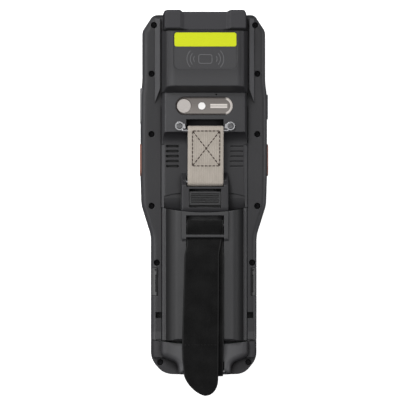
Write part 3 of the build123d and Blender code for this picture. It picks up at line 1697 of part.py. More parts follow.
with BuildPart() as front_housing:
    with BuildSketch():
        add(casing_outline)
    extrude(amount=front_height)
    fillet(front_housing.edges().group_by(Axis.Z)[0], radius=front_edge_radius)
    with BuildSketch(Plane.XY.offset(front_plate)):
        add(casing_inset(wall))
    extrude(amount=front_height - front_plate, mode=Mode.SUBTRACT)
    # Screw bosses: the wide part carries the board, the neck passes through it
    with BuildSketch(Plane.XY.offset(front_plate)):
        with Locations(*screw_points):
            Circle(boss_radius)
    extrude(amount=board_height - front_plate)
    with BuildSketch(Plane.XY.offset(front_plate)):
        with Locations(*screw_points):
            Circle(boss_neck_radius)
    extrude(amount=front_height - front_plate)
    with BuildSketch(Plane.XY.offset(screw_seat_height - screw_length - slide_gap)):
        with Locations(*screw_points):
            Circle(screw_shank_radius + pivot_gap)
    extrude(amount=front_height, mode=Mode.SUBTRACT)
    # Pocket for the display glass, with the display's opening behind it
    with BuildSketch():
        with Locations((0, glass_y)):
            RectangleRounded(
                2 * (glass_half_width + seat_gap),
                glass_length + 2 * seat_gap,
                glass_corner_radius + seat_gap,
            )
    extrude(amount=glass_back, mode=Mode.SUBTRACT)
    with BuildSketch(Plane.XY.offset(glass_back)):
        with Locations((0, glass_y)):
            Rectangle(2 * (glass_half_width - glass_ledge), glass_length - 2 * glass_ledge)
    extrude(amount=front_plate - glass_back, mode=Mode.SUBTRACT)
    # Keypad recess with the keys' openings
    with BuildSketch():
        with Locations((0, panel_y)):
            RectangleRounded(2 * panel_half_width, panel_length, panel_corner_radius)
    extrude(amount=panel_recess, mode=Mode.SUBTRACT)
    for name in plate_keys:
        with BuildSketch(Plane.XY.offset(panel_recess)):
            add(key_plan(name, slide_gap))
        extrude(amount=front_plate - panel_recess, mode=Mode.SUBTRACT)
    # Earpiece slot
    with BuildSketch():
        with Locations((0, casing_top_y - earpiece_margin)):
            SlotOverall(earpiece_length, earpiece_width)
    extrude(amount=front_plate, mode=Mode.SUBTRACT)
    # Opening for the dock connector in the lower end
    with BuildSketch(Plane.XZ.offset(-casing_bottom_y + 1)):
        with Locations((0, board_height - dock_height / 2)):
            RectangleRounded(
                2 * (dock_half_width + seat_gap), dock_height + seat_gap, dock_height / 4
            )
    extrude(amount=-1 - 2 * wall, mode=Mode.SUBTRACT)
write(front_housing.part, "front_housing")

# ---------------------------------------------------------------------------------------------
# Display, main board and keypad mat
# ---------------------------------------------------------------------------------------------

with BuildPart() as display_glass:
    with BuildSketch(Plane.XY.offset(glass_recess)):
        with Locations((0, glass_y)):
            RectangleRounded(2 * glass_half_width, glass_length, glass_corner_radius)
    extrude(amount=glass_thickness)
write(display_glass.part, "display_glass")

with BuildPart() as display_module:
    with BuildSketch(Plane.XY.offset(glass_back)):
        with Locations((0, glass_y)):
            Rectangle(
                2 * (glass_half_width - glass_ledge - seat_gap),
                glass_length - 2 * (glass_ledge + seat_gap),
            )
    extrude(amount=display_thickness)
write(display_module.part, "display_module")

with BuildPart() as main_board:
    with BuildSketch(Plane.XY.offset(board_height)):
        add(casing_inset(wall + board_gap))
        with Locations(*screw_points):
            Circle(boss_neck_radius + slide_gap, mode=Mode.SUBTRACT)
    extrude(amount=board_thickness)
write(main_board.part, "main_board")

with BuildPart() as keypad_mat:
    with BuildSketch(Plane.XY.offset(mat_face)):
        with Locations((0, panel_y)):
            RectangleRounded(
                2 * (panel_half_width - wall), panel_length - wall, panel_corner_radius
            )
    extrude(amount=mat_thickness)
    with BuildSketch(Plane.XY.offset(mat_back)):
        with Locations((0, navigation_key_y), (0, front_scan_key_y)):
            Circle(dome_radius)
        with Locations(*corner_key_points.values()):
            Circle(dome_radius)
        with Locations(*number_key_points):
            Circle(dome_radius)
    extrude(amount=board_height - mat_back)
write(keypad_mat.part, "keypad_mat")

with BuildPart() as dock_connector:
    with BuildSketch(Plane.XZ.offset(-casing_bottom_y - dock_inset)):
        with Locations((0, board_height - dock_height / 2)):
            RectangleRounded(2 * dock_half_width, dock_height, dock_height / 4)
    extrude(amount=-dock_length)
    # Hollow mouth with a tongue down its middle
    with BuildSketch(Plane.XZ.offset(-casing_bottom_y - dock_inset)):
        with Locations((0, board_height - dock_height / 2)):
            RectangleRounded(2 * dock_half_width - 1, dock_height - 1, dock_height / 5)
            Rectangle(2 * dock_half_width - 3, dock_height / 4, mode=Mode.SUBTRACT)
    extrude(amount=-dock_pocket, mode=Mode.SUBTRACT)
write(dock_connector.part, "dock_connector")

# ---------------------------------------------------------------------------------------------
# Front keys: a cap through the plate and a flange behind it
# ---------------------------------------------------------------------------------------------


def front_key(name):
    """One front key."""
    with BuildPart() as key:
        with BuildSketch(Plane.XY.offset(key_face)):
            add(key_plan(name, 0))
        extrude(amount=key_back - key_face)
        fillet(key.edges().group_by(Axis.Z)[0], radius=key_edge_radius)
        with BuildSketch(Plane.XY.offset(key_seat)):
            add(key_plan(name, key_flange))
        extrude(amount=key_flange_thickness)
    return key.part


for name in plate_keys[1:] + ["enter_key"]:
    write(front_key(name), name)

# The navigation key is a ring; its bore is widened behind to hold the enter key's flange
with BuildPart() as navigation_key:
    add(front_key("navigation_key"))
    with BuildSketch(Plane.XY.offset(key_face)):
        with Locations((0, navigation_key_y)):
            Circle(enter_key_radius + slide_gap)
    extrude(amount=key_back - key_face, mode=Mode.SUBTRACT)
    with BuildSketch(Plane.XY.offset(key_seat - 2 * key_travel)):
        with Locations((0, navigation_key_y)):
            Circle(enter_key_radius + key_flange + slide_gap)
    extrude(amount=key_back - key_seat + 2 * key_travel, mode=Mode.SUBTRACT)
write(navigation_key.part, "navigation_key")
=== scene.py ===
import math

import bmesh
import bpy
import numpy as np
from mathutils import Matrix, Vector


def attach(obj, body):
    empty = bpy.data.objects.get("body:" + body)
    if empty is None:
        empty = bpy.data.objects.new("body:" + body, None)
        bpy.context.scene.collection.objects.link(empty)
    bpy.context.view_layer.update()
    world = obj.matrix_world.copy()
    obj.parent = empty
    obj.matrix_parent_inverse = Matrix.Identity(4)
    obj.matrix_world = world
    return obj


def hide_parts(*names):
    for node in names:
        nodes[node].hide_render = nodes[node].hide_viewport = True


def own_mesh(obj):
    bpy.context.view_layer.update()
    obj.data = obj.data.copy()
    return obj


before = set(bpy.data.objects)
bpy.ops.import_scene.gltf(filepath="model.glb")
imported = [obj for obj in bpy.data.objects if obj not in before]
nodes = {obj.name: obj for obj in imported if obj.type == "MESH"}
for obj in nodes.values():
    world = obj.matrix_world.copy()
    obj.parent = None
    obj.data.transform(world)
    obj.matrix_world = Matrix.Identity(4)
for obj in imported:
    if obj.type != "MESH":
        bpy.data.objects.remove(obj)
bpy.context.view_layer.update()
scene = bpy.context.scene
scene.view_settings.view_transform = "Standard"

# ------------------------------------------------------------------------------------------
# Table, lamps and camera
# The terminal lies on its face on a pale table with a turned-up rim, in a white room. A softbox
# hangs high on its left, weaker ones stand at both sides, and the camera looks almost straight
# down.
# ------------------------------------------------------------------------------------------

table_radius = 24.0
table_rim = 8.0
table_white = 0.93
air_light = 0.13
view_width = 0.2288
view_distance = 10.0
film_width = 36
view_reach = 60.0
view_lean = math.radians(2.4)
view_target = Vector((-0.0021, -0.0051, 0.011))
pure_white = (1, 1, 1, 1)


def lattice(rows, columns):
    """The corners of each face of a grid of points, numbered row by row, whose last column is
    joined to its first."""
    row, column = np.meshgrid(np.arange(rows - 1), np.arange(columns), indexing="ij")
    row, column = row.ravel(), column.ravel()
    after = (column + 1) % columns
    return np.stack(
        [row * columns + column, row * columns + after, (row + 1) * columns + after,
         (row + 1) * columns + column],
        axis=-1,
    )


def cove(name, radius, rise, rings, spokes):
    """A table with a turned-up rim: the height is the rise times the distance from the middle,
    as a share of the radius, to the sixth power."""
    share, turn = np.meshgrid(
        np.linspace(0, 1, rings), np.linspace(0, 2 * np.pi, spokes, endpoint=False), indexing="ij"
    )
    points = np.stack(
        [radius * share * np.cos(turn), radius * share * np.sin(turn), rise * share**6], axis=-1
    )
    mesh = bpy.data.meshes.new(name)
    mesh.from_pydata(points.reshape(-1, 3).tolist(), [], lattice(rings, spokes)[:, ::-1].tolist())
    made = bpy.data.objects.new(name, mesh)
    scene.collection.objects.link(made)
    return made


table = cove("table", table_radius, table_rim, rings=40, spokes=64)
table_paint = bpy.data.materials.new("white_table")
table_paint.use_nodes = True
table_skin = table_paint.node_tree.nodes["Principled BSDF"]
table_skin.inputs["Base Color"].default_value = (0.8, 0.8, 0.8, 1)
table_skin.inputs["Emission Color"].default_value = pure_white
table_skin.inputs["Emission Strength"].default_value = table_white
table.data.materials.append(table_paint)
table.visible_diffuse = False
table.visible_glossy = False

world = bpy.data.worlds.new("studio_air")
scene.world = world
world.use_nodes = True
air = world.node_tree.nodes["Background"]
air.inputs["Color"].default_value = (0.93, 0.94, 1, 1)
air.inputs["Strength"].default_value = air_light
wall = world.node_tree.nodes.new("ShaderNodeBackground")
wall.inputs["Color"].default_value = pure_white
seen = world.node_tree.nodes.new("ShaderNodeLightPath")
choice = world.node_tree.nodes.new("ShaderNodeMixShader")
for source, target in (
    (seen.outputs["Is Camera Ray"], choice.inputs["Fac"]),
    (air.outputs["Background"], choice.inputs[1]),
    (wall.outputs["Background"], choice.inputs[2]),
    (choice.outputs["Shader"], world.node_tree.nodes["World Output"].inputs["Surface"]),
):
    world.node_tree.links.new(source, target)


def softbox(name, place, aim, size, power):
    """A square area lamp that looks at a point."""
    lamp = bpy.data.lights.new(name, "AREA")
    lamp.size = size
    lamp.energy = power
    made = bpy.data.objects.new(name, lamp)
    made.location = place
    made.rotation_euler = (Vector(aim) - Vector(place)).to_track_quat("-Z", "Y").to_euler()
    made.visible_camera = False
    scene.collection.objects.link(made)


softbox("far_box", (-0.55, 1.15, 1.2), (0, 0, 0), 0.45, 17)
softbox("overhead_box", (-0.25, 0.1, 1.6), (0, 0, 0), 0.9, 8)
softbox("left_box", (-1.3, 0.0, 0.75), (0, 0, 0.02), 0.7, 6)
softbox("right_box", (1.3, 0.0, 0.75), (0, 0, 0.02), 0.7, 4.5)

lens = bpy.data.cameras.new("camera")
lens.sensor_width = film_width
lens.lens = film_width * view_distance / view_width
lens.clip_end = view_reach
camera = bpy.data.objects.new("camera", lens)
backwards = Vector((-math.sin(view_lean), 0, math.cos(view_lean)))
upwards = Vector((0, 1, 0))
camera.matrix_world = Matrix.Translation(view_target + view_distance * backwards) @ Matrix(
    (upwards.cross(backwards), upwards, backwards)
).transposed().to_4x4()
scene.collection.objects.link(camera)
scene.camera = camera

# ------------------------------------------------------------------------------------------
# Casing halves and scan head cover
# Injection moulded glass-filled nylon, dark grey with a fine spark-eroded texture. Use has
# smoothed the outer edges a little, and they are painted lighter than the flats as highlights.
# ------------------------------------------------------------------------------------------

# Pieces are worked out in millimetres, and the scene's own unit is the metre.
mm = 0.001

cloud_scale = 42
speck_scale = 1500
pebble_scale = 2600
corner_reach = 5 * mm
# Near-black, for painted shade in holes and corners and for dirt in joints.
shade_and_dirt_colour = (0.002, 0.002, 0.002)
body_half_width = 34.85
grip_half_width = 29.9
grip_start_y = -25.4
foot_y = -79.8
flank_height = 22.0
plateau_height = 28.5
rail_inner_x = 25.3
rail_tip_y = 50.4
recess_half_width = 11.0
recess_low_y = 35.5
recess_high_y = 42.0
sound_x = -15.6
sound_half_width = 4.2
sound_low_y = 13.4
sound_high_y = 25.6
inset_floor = 34.5
crown_half_width = 19.0
cap_joint_y = 91.7
bump_inner_x = 12.0


class Signal:
    """One output socket of a material. Arithmetic on it makes the Math nodes that do the sum."""

    def __init__(self, tree, socket=None):
        self.tree = tree
        self.socket = socket

    def node(self, kind, settings=None, sockets=None, output=0):
        """Makes a node: settings first, then the value or the link of each socket."""
        made = self.tree.nodes.new("ShaderNode" + kind)
        for setting, value in (settings or {}).items():
            setattr(made, setting, value)
        for name, value in (sockets or {}).items():
            if isinstance(value, Signal):
                self.tree.links.new(value.socket, made.inputs[name])
            else:
                made.inputs[name].default_value = value
        return Signal(self.tree, made.outputs[output])

    def sum(self, operation, *values):
        """A Math node on signals and numbers."""
        return self.node("Math", {"operation": operation}, dict(enumerate(values)))

    def __add__(self, other):
        return self.sum("ADD", self, other)

    def __sub__(self, other):
        return self.sum("SUBTRACT", self, other)

    def __mul__(self, other):
        return self.sum("MULTIPLY", self, other)

    def __rsub__(self, other):
        return self.sum("SUBTRACT", other, self)

    def __pow__(self, other):
        return self.sum("POWER", self, other)

    __radd__ = __add__
    __rmul__ = __mul__

    def size(self):
        """The value without its sign."""
        return self.sum("ABSOLUTE", self)

    def sign(self):
        """1 above 0 and -1 below it."""
        return self.sum("SIGN", self)

    def at_least(self, floor):
        """The value, or the floor where that is higher."""
        return self.sum("MAXIMUM", self, floor)

    def at_most(self, roof):
        """The value, or the roof where that is lower."""
        return self.sum("MINIMUM", self, roof)

    def wave(self):
        """The sine of the value."""
        return self.sum("SINE", self)

    def step(self, start, end):
        """0 up to the start and 1 from the end on, with a smooth rise between them."""
        return self.node(
            "MapRange",
            {"interpolation_type": "SMOOTHSTEP"},
            {"Value": self, "From Min": start, "From Max": end},
        )

    def place(self):
        """Where a point lies on the object, a vector in metres."""
        return self.node("TexCoord", output="Object")

    def parts(self):
        """The X, Y and Z of a vector."""
        split = self.node("SeparateXYZ", sockets={0: self}).socket.node
        return [Signal(self.tree, socket) for socket in split.outputs]

    def noise(self, scale, detail):
        """Noise at the place that this signal gives."""
        return self.node("TexNoise", sockets={"Vector": self, "Scale": scale, "Detail": detail})

    def stored(self, name):
        """A named value that a piece holds at its points."""
        return self.node("Attribute", {"attribute_name": name}, output="Fac")

    def blend(self, low, high):
        """The colour low where this signal is 0 and high where it is 1."""
        low, high = (shade if isinstance(shade, Signal) else (*shade, 1) for shade in (low, high))
        return self.node(
            "Mix", {"data_type": "RGBA", "clamp_factor": True}, {0: self, 6: low, 7: high}, output=2
        )

    def bump(self, strength, depth, **normal):
        """The normal of a surface that this signal raises, by a depth in metres."""
        return self.node(
            "Bump", sockets={"Strength": strength, "Distance": depth, "Height": self, **normal}
        )


def open_material(name, metal=0.0, coat=0.0, sheen=0.0, specular=0.5):
    """A new material, its Principled node, and a Signal to build the rest from."""
    material = bpy.data.materials.new(name)
    material.use_nodes = True
    skin = material.node_tree.nodes["Principled BSDF"]
    skin.inputs["Metallic"].default_value = metal
    skin.inputs["Coat Weight"].default_value = coat
    skin.inputs["Sheen Weight"].default_value = sheen
    skin.inputs["Specular IOR Level"].default_value = specular
    return material, skin, Signal(material.node_tree)


def feed(skin, **signals):
    """Links signals to the skin's sockets, Base_Color for Base Color."""
    for name, signal in signals.items():
        signal.tree.links.new(signal.socket, skin.inputs[name.replace("_", " ")])


def shaded(colour, factor):
    """A colour times a factor: darker below 1, lighter above it."""
    return tuple(factor * part for part in colour)


def edge_wear_and_highlight(start, radius, speck):
    """The bevelled normal, and how much an edge shows wear and a painted highlight: five times what
    the cosine between that normal and the true one lacks of 1, broken up by the specks."""
    rounded = start.node("Bevel", {"samples": 4}, {"Radius": radius})
    true = start.node("NewGeometry", output="Normal")
    level = start.node("VectorMath", {"operation": "DOT_PRODUCT"}, {0: rounded, 1: true}, "Value")
    return rounded, (1 - level) * 5 * (0.6 + 0.8 * speck)


def moulded(
    name, colour, worn_and_lit, roughness, grain=0.35, edge=0.5 * mm, cloud=0.12, specular=0.35, painted_light_and_dirt=None
):
    """Moulded plastic: clouded colour, edges that show wear and are painted lighter as highlights,
    and a pebbled texture whose height is the distance to the nearest cell's middle plus fine noise.
    Painted shade darkens holes and corners by how much of the open space, 5 mm round a point, the
    piece itself fills. The light and dirt, a function of X, Y, Z in millimetres and of the normal's
    parts, adds painted highlights above 0, and painted shade and joint dirt below."""
    material, skin, start = open_material(name, specular=specular)
    place = start.place()
    clouds = place.noise(cloud_scale, 4)
    speck = place.noise(speck_scale, 2)
    pebble = start.node("TexVoronoi", sockets={"Vector": place, "Scale": pebble_scale})
    rounded, wear_and_highlight = edge_wear_and_highlight(start, edge, speck)
    tone = (clouds - 0.5) * (2 * cloud) + (speck - 0.5) * 0.25 + 0.5
    # Painted shade: the piece's own occlusion darkens its holes and corners.
    hidden = start.node(
        "AmbientOcclusion", {"samples": 6, "only_local": True}, {"Distance": corner_reach}, "AO"
    )
    deep = hidden.step(0.85, 0.35)
    # Painted highlights and painted shade, with some joint dirt, from the piece's own function.
    if painted_light_and_dirt:
        facing = start.node("NewGeometry", output="Normal")
        spread = painted_light_and_dirt(*(part * (1 / mm) for part in place.parts()), *facing.parts())
        wear_and_highlight = wear_and_highlight + spread.at_least(0)
        deep = deep + (spread * -1).at_least(0)
    plain = tone.blend(shaded(colour, 0.72), shaded(colour, 1.28))
    feed(
        skin,
        Base_Color=deep.blend(wear_and_highlight.blend(plain, worn_and_lit), shade_and_dirt_colour),
        Roughness=roughness + (clouds - 0.5) * 0.14 - wear_and_highlight * 0.12 + deep * 0.3,
        Normal=(pebble + speck * 0.6).bump(grain, 0.04 * mm, Normal=rounded),
    )
    return material


def dress(material, *names):
    """Gives CAD nodes a material."""
    for name in names:
        mesh = nodes[name].data
        mesh.materials.clear()
        mesh.materials.append(material)


def casing_painted_light(x, y, z, nx, ny, nz):
    """The back half is painted lighter, as highlights, on all that turns sideways: its long edges,
    the bevels of the rails and of the column. The camera plateau is painted lighter too, most on
    the left, and the lower end is lighter. The recess round the strap bar and the sound slots are
    painted dark as shade."""
    bevels = nx.size().step(0.1, 0.75) * 0.5
    body_edge = x.step(body_half_width - 1.25, body_half_width - 0.25) * 0.14
    grip_edge = x.step(grip_half_width - 1.7, grip_half_width - 0.5)
    grip_edge = grip_edge * y.step(grip_start_y + 1.4, grip_start_y - 8.6) * 0.3
    rails = y.step(rail_tip_y - 0.4, rail_tip_y + 1.6) * z.step(flank_height + 0.1, flank_height + 0.4)
    rails = rails * x.size().step(rail_inner_x + 0.1, rail_inner_x + 0.7) * nx.size().step(0.2, 0.4)
    plateau = z.step(plateau_height - 0.2, plateau_height - 0.05)
    plateau = plateau * z.step(plateau_height + 0.3, plateau_height + 0.1) * (0.22 - x * 0.005)
    foot = y.step(foot_y, foot_y - 1) * 0.3
    recess = y.step(recess_low_y, recess_low_y + 2) * y.step(recess_high_y, recess_high_y - 0.6)
    recess = recess * x.size().step(recess_half_width + 0.6, recess_half_width)
    recess = recess * z.step(plateau_height - 0.5, plateau_height - 2) * 0.75
    slots = (x - sound_x).size().step(sound_half_width + 0.2, sound_half_width)
    slots = slots * y.step(sound_low_y - 0.4, sound_low_y) * y.step(sound_high_y + 0.4, sound_high_y)
    slots = slots * z.step(flank_height + 1.5, flank_height + 1.2)
    slots = slots * z.step(flank_height - 3, flank_height - 2) * 0.9
    # Painted highlights, less the painted shade in the recess and the slots.
    worn_and_lit = bevels + body_edge + grip_edge + rails * (x * 0.012 + 0.45) + plateau + foot
    return worn_and_lit - recess - slots


def cover_painted_light(x, y, z, nx, ny, nz):
    """The cover is painted paler as highlights in its inset, towards its lower end, along its left
    shoulder and where it turns sideways. Its joint with the end cap is darker, and under the bumps
    there is painted shadow."""
    level = nz.step(0.9, 0.99)
    inset = z.step(inset_floor + 0.2, inset_floor + 0.1)
    inset = inset * z.step(inset_floor - 0.2, inset_floor - 0.05) * level * 0.2
    lower = y.step(72, 62) * level * 0.2
    shoulder = (x + crown_half_width).size().step(2.2, 0.4)
    shoulder = shoulder * z.step(inset_floor - 0.5, inset_floor - 0.1) * 0.12
    joint = y.step(cap_joint_y - 0.6, cap_joint_y - 0.1)
    joint = joint * (x.size().step(bump_inner_x - 3, bump_inner_x) * 0.6 + 0.25)
    return inset + lower + shoulder + nx.size().step(0.3, 0.9) * 0.1 - joint


casing_grey = (0.03, 0.0295, 0.0315)
casing_worn_and_lit = (0.085, 0.085, 0.09)
dress(moulded("front_nylon", casing_grey, casing_worn_and_lit, 0.5), "front_housing")
back_grey = (0.0255, 0.025, 0.027)
dress(moulded("back_nylon", back_grey, casing_worn_and_lit, 0.5, painted_light_and_dirt=casing_painted_light), "rear_housing")
dress(moulded("cover_nylon", casing_grey, casing_worn_and_lit, 0.5, painted_light_and_dirt=cover_painted_light), "scan_head_cover")

# ------------------------------------------------------------------------------------------
# Housing gasket and housing screws
# A black silicone ring is squeezed in the joint between the halves. Twelve blackened steel
# screws go down deep holes and clamp the halves together.
# ------------------------------------------------------------------------------------------


def streaked_metal(name, colour, bare, roughness, streak=900):
    """Metal: streaks of noise, twelve times as long along Y as across it, and bare metal on the
    edges, for wear and painted highlights.
    """
    material, skin, start = open_material(name, metal=1.0)
    place = start.place()
    drawn = start.node("Mapping", sockets={"Vector": place, "Scale": (streak, streak / 12, streak)})
    streaks = drawn.noise(1, 3)
    speck = place.noise(700, 3)
    rounded, wear_and_highlight = edge_wear_and_highlight(start, 0.2 * mm, speck)
    feed(
        skin,
        Base_Color=wear_and_highlight.blend(streaks.blend(shaded(colour, 0.7), shaded(colour, 1.3)), bare),
        Roughness=roughness + (speck - 0.5) * 0.2,
        Normal=streaks.bump(0.15, 0.02 * mm, Normal=rounded),
    )
    return material


seal = moulded("seal_rubber", (0.012, 0.012, 0.0125), (0.03, 0.03, 0.031), 0.6, grain=0.2)
dress(seal, "housing_gasket")
black_steel = streaked_metal("blackened_steel", (0.014, 0.014, 0.015), (0.06, 0.06, 0.06), 0.5)
dress(black_steel, "housing_screws")

# ------------------------------------------------------------------------------------------
# Contactless mark and yellow label
# The mark is printed in pale ink on the inset of the scan head cover: a rounded rectangle
# between three arcs on each side. The label is a glossy film plate in the inset's upper end.
# ------------------------------------------------------------------------------------------

mark_middle = np.array([0.0, 75.4])
mark_box = np.array([7.6, 5.0])
mark_box_radius = 1.2
mark_arcs = ((2.7, 38), (4.6, 44), (6.5, 46))
mark_arc_centre = 4.0
mark_line = 0.4
mark_ink = 0.03


def tube_faces(rows, columns, copies=1):
    """Faces of closed tubes of equal size one after another: the wall, then both end caps."""
    wall = lattice(rows, columns)
    ring = np.arange(columns)
    starts = np.arange(copies)[:, None] * (rows * columns)
    walls = (wall[None] + starts[:, :, None]).reshape(-1, 4)
    near = ring[::-1] + starts
    far = ring + starts + (rows - 1) * columns
    return walls.tolist() + near.tolist() + far.tolist()


def add_piece(name, points, faces, material, body="terminal", values=None):
    """A piece in its place: points in millimetres, faces turned outwards, with named values at
    the points for its material, on a body of the frame."""
    mesh = bpy.data.meshes.new(name)
    mesh.from_pydata((np.asarray(points).reshape(-1, 3) * mm).tolist(), [], faces)
    for title, numbers in (values or {}).items():
        layer = mesh.attributes.new(title, "FLOAT", "POINT")
        layer.data.foreach_set("value", np.ascontiguousarray(numbers, np.float32).ravel())
    shell = bmesh.new()
    shell.from_mesh(mesh)
    bmesh.ops.recalc_face_normals(shell, faces=shell.faces)
    shell.to_mesh(mesh)
    shell.free()
    mesh.polygons.foreach_set("use_smooth", np.ones(len(mesh.polygons), bool))
    mesh.materials.append(material)
    piece = bpy.data.objects.new(name, mesh)
    scene.collection.objects.link(piece)
    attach(piece, body)
    return piece


def circle(angle):
    """The cosine and the sine of each angle."""
    return np.stack([np.cos(angle), np.sin(angle)], axis=-1)


def headings(line):
    """The direction of a line at each of its points: the step between its neighbours, made one
    long."""
    ahead = np.gradient(line, axis=0)
    return ahead / np.linalg.norm(ahead, axis=1)[:, None]


def ink_line(line, width, base, height):
    """Points of a line of ink: at each point of the line (X, Y) stands a trapezium across it,
    from its foot on the base to its top."""
    ahead = headings(line)
    across = np.stack([-ahead[:, 1], ahead[:, 0]], axis=-1)
    side = np.array([-0.5, -0.42, 0.42, 0.5]) * width
    level = base + np.array([0, 1, 1, 0]) * height
    flat = line[:, None] + across[:, None] * side[None, :, None]
    return np.concatenate([flat, np.broadcast_to(level[None, :, None], (*flat.shape[:2], 1))], axis=2)


def print_mark(name, line):
    """A line of pale ink on the inset, round the middle of the mark."""
    points = ink_line(mark_middle + line, mark_line, inset_floor, mark_ink)
    add_piece(name, points, tube_faces(len(line), 4), pale_ink)


pale_ink = moulded("pale_ink", (0.13, 0.13, 0.135), (0.13, 0.13, 0.135), 0.6, grain=0.05, edge=0.001 * mm)
for count, (radius, span) in enumerate(mark_arcs, 1):
    arc = radius * circle(np.radians(span) * np.linspace(-1, 1, 25)) + (mark_arc_centre, 0)
    print_mark(f"mark_left_arc_{count}", arc * (-1, 1))
    print_mark(f"mark_right_arc_{count}", arc)

quarter = np.linspace(0, np.pi / 2, 7)
turn = np.concatenate([quarter + np.pi / 2 * step for step in range(4)])
corners = np.repeat([(1, 1), (-1, 1), (-1, -1), (1, -1)], len(quarter), axis=0)
box_line = corners * (mark_box / 2 - mark_box_radius) + mark_box_radius * circle(turn)
print_mark("mark_box", np.concatenate([box_line, box_line[:1]]))

yellow = moulded(
    "yellow_film", (0.63, 0.7, 0.01), (0.66, 0.7, 0.05), 0.42, grain=0.08, cloud=0.05,
    edge=0.2 * mm, specular=0.15,
)
dress(yellow, "label_plate")

# ------------------------------------------------------------------------------------------
# Scan head's end cap, scan window, scan engine and antenna
# The cap is overmoulded with hard rubber. The window is a tinted filter in front of the black
# engine, and the antenna is etched copper foil under the cover.
# ------------------------------------------------------------------------------------------


def end_joint_and_shadow(x, y, z, nx, ny, nz):
    """The end cap's joint with the cover is darker, with painted shadow under the bumps."""
    joint = y.step(cap_joint_y + 1.3, cap_joint_y + 0.5)
    return joint * (x.size().step(bump_inner_x - 3, bump_inner_x) * -0.7 - 0.2)


boot = moulded(
    "end_rubber", (0.033, 0.0325, 0.036), (0.08, 0.08, 0.088), 0.55, grain=0.2, painted_light_and_dirt=end_joint_and_shadow
)
dress(boot, "head_end_cap")


def glazed(name, colour, roughness, dust, coat=0.0):
    """Smooth glass or lacquer: one colour under a thin haze of dust, which is rougher."""
    material, skin, start = open_material(name, coat=coat)
    film = start.place().noise(90, 6).step(0.45, 0.8) * dust
    feed(skin, Base_Color=film.blend(colour, (0.5, 0.5, 0.5)), Roughness=film + roughness)
    return material


dress(glazed("red_filter", (0.05, 0.004, 0.004), 0.06, dust=0.04), "scan_window")
module_black = moulded("module_black", (0.006, 0.006, 0.006), (0.02, 0.02, 0.02), 0.5)
dress(module_black, "scan_engine")
copper = streaked_metal("etched_copper", (0.75, 0.34, 0.18), (0.85, 0.45, 0.3), 0.35)
dress(copper, "contactless_antenna")

# ------------------------------------------------------------------------------------------
# Camera plate, camera window, flash and camera module
# A stadium-shaped plate of brushed, lacquered metal over the black module, with painted shade in
# a groove just inside its rim, a pale double bar printed beside the flash, and a painted glint, a
# pale crescent, at its end.
# ------------------------------------------------------------------------------------------

camera_middle = (-0.4, 48.6)
plate_half_run = 11.15
plate_radius = 5.15
groove_radius = 4.7
groove_half_width = 0.42
bar_middle_x = 8.3
bar_half_length = 4.8
bar_half_height = 1.15
bar_slit = 0.1
crescent_x = 11.3
crescent_inner = 3.5
plate_lacquer = (0.115, 0.098, 0.088)
plate_pale = (0.185, 0.165, 0.15)
groove_shade_colour = (0.018, 0.012, 0.01)
print_and_glint_colour = (0.66, 0.61, 0.57)


def camera_lacquer():
    """The plate's finish. Its groove of painted shade follows the distance from the middle line of the
    stadium and fades towards the painted glint; bar and crescent glint are cut from X, Y and the
    distance from a point by smooth steps."""
    material, skin, start = open_material("camera_lacquer")
    place = start.place()
    x, y, _ = place.parts()
    x = x * (1 / mm) - camera_middle[0]
    y = y * (1 / mm) - camera_middle[1]
    beyond = (x.size() - plate_half_run).at_least(0)
    rim = (beyond**2 + y**2) ** 0.5
    # Painted shade in the groove, weaker towards the painted glint.
    groove = (rim - groove_radius).size().step(groove_half_width + 0.15, groove_half_width - 0.1)
    groove = groove * (x.step(crescent_x + 1.4, crescent_x) * 0.7 + 0.3)
    along = (x - bar_middle_x).size().step(bar_half_length + 0.15, bar_half_length - 0.1)
    up = y.size().step(bar_half_height + 0.12, bar_half_height - 0.12)
    slit = y.size().step(bar_slit, bar_slit + 0.12)
    # The crescent is a painted glint on the plate's end.
    ring = ((x - crescent_x) ** 2 + y**2) ** 0.5
    crescent = ring.step(crescent_inner, crescent_inner + 0.5) * x.step(crescent_x + 0.6, crescent_x + 1.8)
    lines = start.node("Mapping", sockets={"Vector": place, "Scale": (40, 2400, 40)})
    brushed = lines.noise(1, 3)
    tone = (y * (-1 / (2 * plate_radius)) + brushed * 0.9).step(-0.1, 1.0)
    bare = tone.blend(plate_lacquer, plate_pale)
    # Print for the double bar, painted glint for the crescent.
    print_and_glint = (along * up * slit + crescent).at_most(1).blend(bare, print_and_glint_colour)
    feed(
        skin,
        Base_Color=groove.blend(print_and_glint, groove_shade_colour),
        Roughness=brushed * 0.2 + 0.3,
        Normal=(brushed - groove * 3).bump(0.25, 0.03 * mm),
    )
    return material


dress(camera_lacquer(), "camera_bezel")
dress(glazed("camera_window", (0.42, 0.385, 0.36), 0.25, dust=0.3), "camera_lens")
dress(glazed("flash_diffuser", (0.86, 0.84, 0.82), 0.3, dust=0.1), "flash_lens")
dress(module_black, "camera_module")

# ------------------------------------------------------------------------------------------
# Strap bar with its two screws
# A cranked bar of plated steel wire with an eye at each end. A button screw with a hex socket
# holds each eye down in the casing's recess.
# ------------------------------------------------------------------------------------------

plated = streaked_metal("plated_steel", (0.2, 0.2, 0.205), (0.75, 0.75, 0.76), 0.3, streak=500)
dress(plated, "strap_bar")
socket_steel = streaked_metal("socket_steel", (0.09, 0.09, 0.092), (0.5, 0.5, 0.51), 0.35)
dress(socket_steel, "strap_bar_screws")

# ------------------------------------------------------------------------------------------
# Webbing link
# A belt of pale polyester webbing runs round the strap bar and round a pin in the spine. Its
# two layers are sewn together with dark thread in a box and cross.
# ------------------------------------------------------------------------------------------

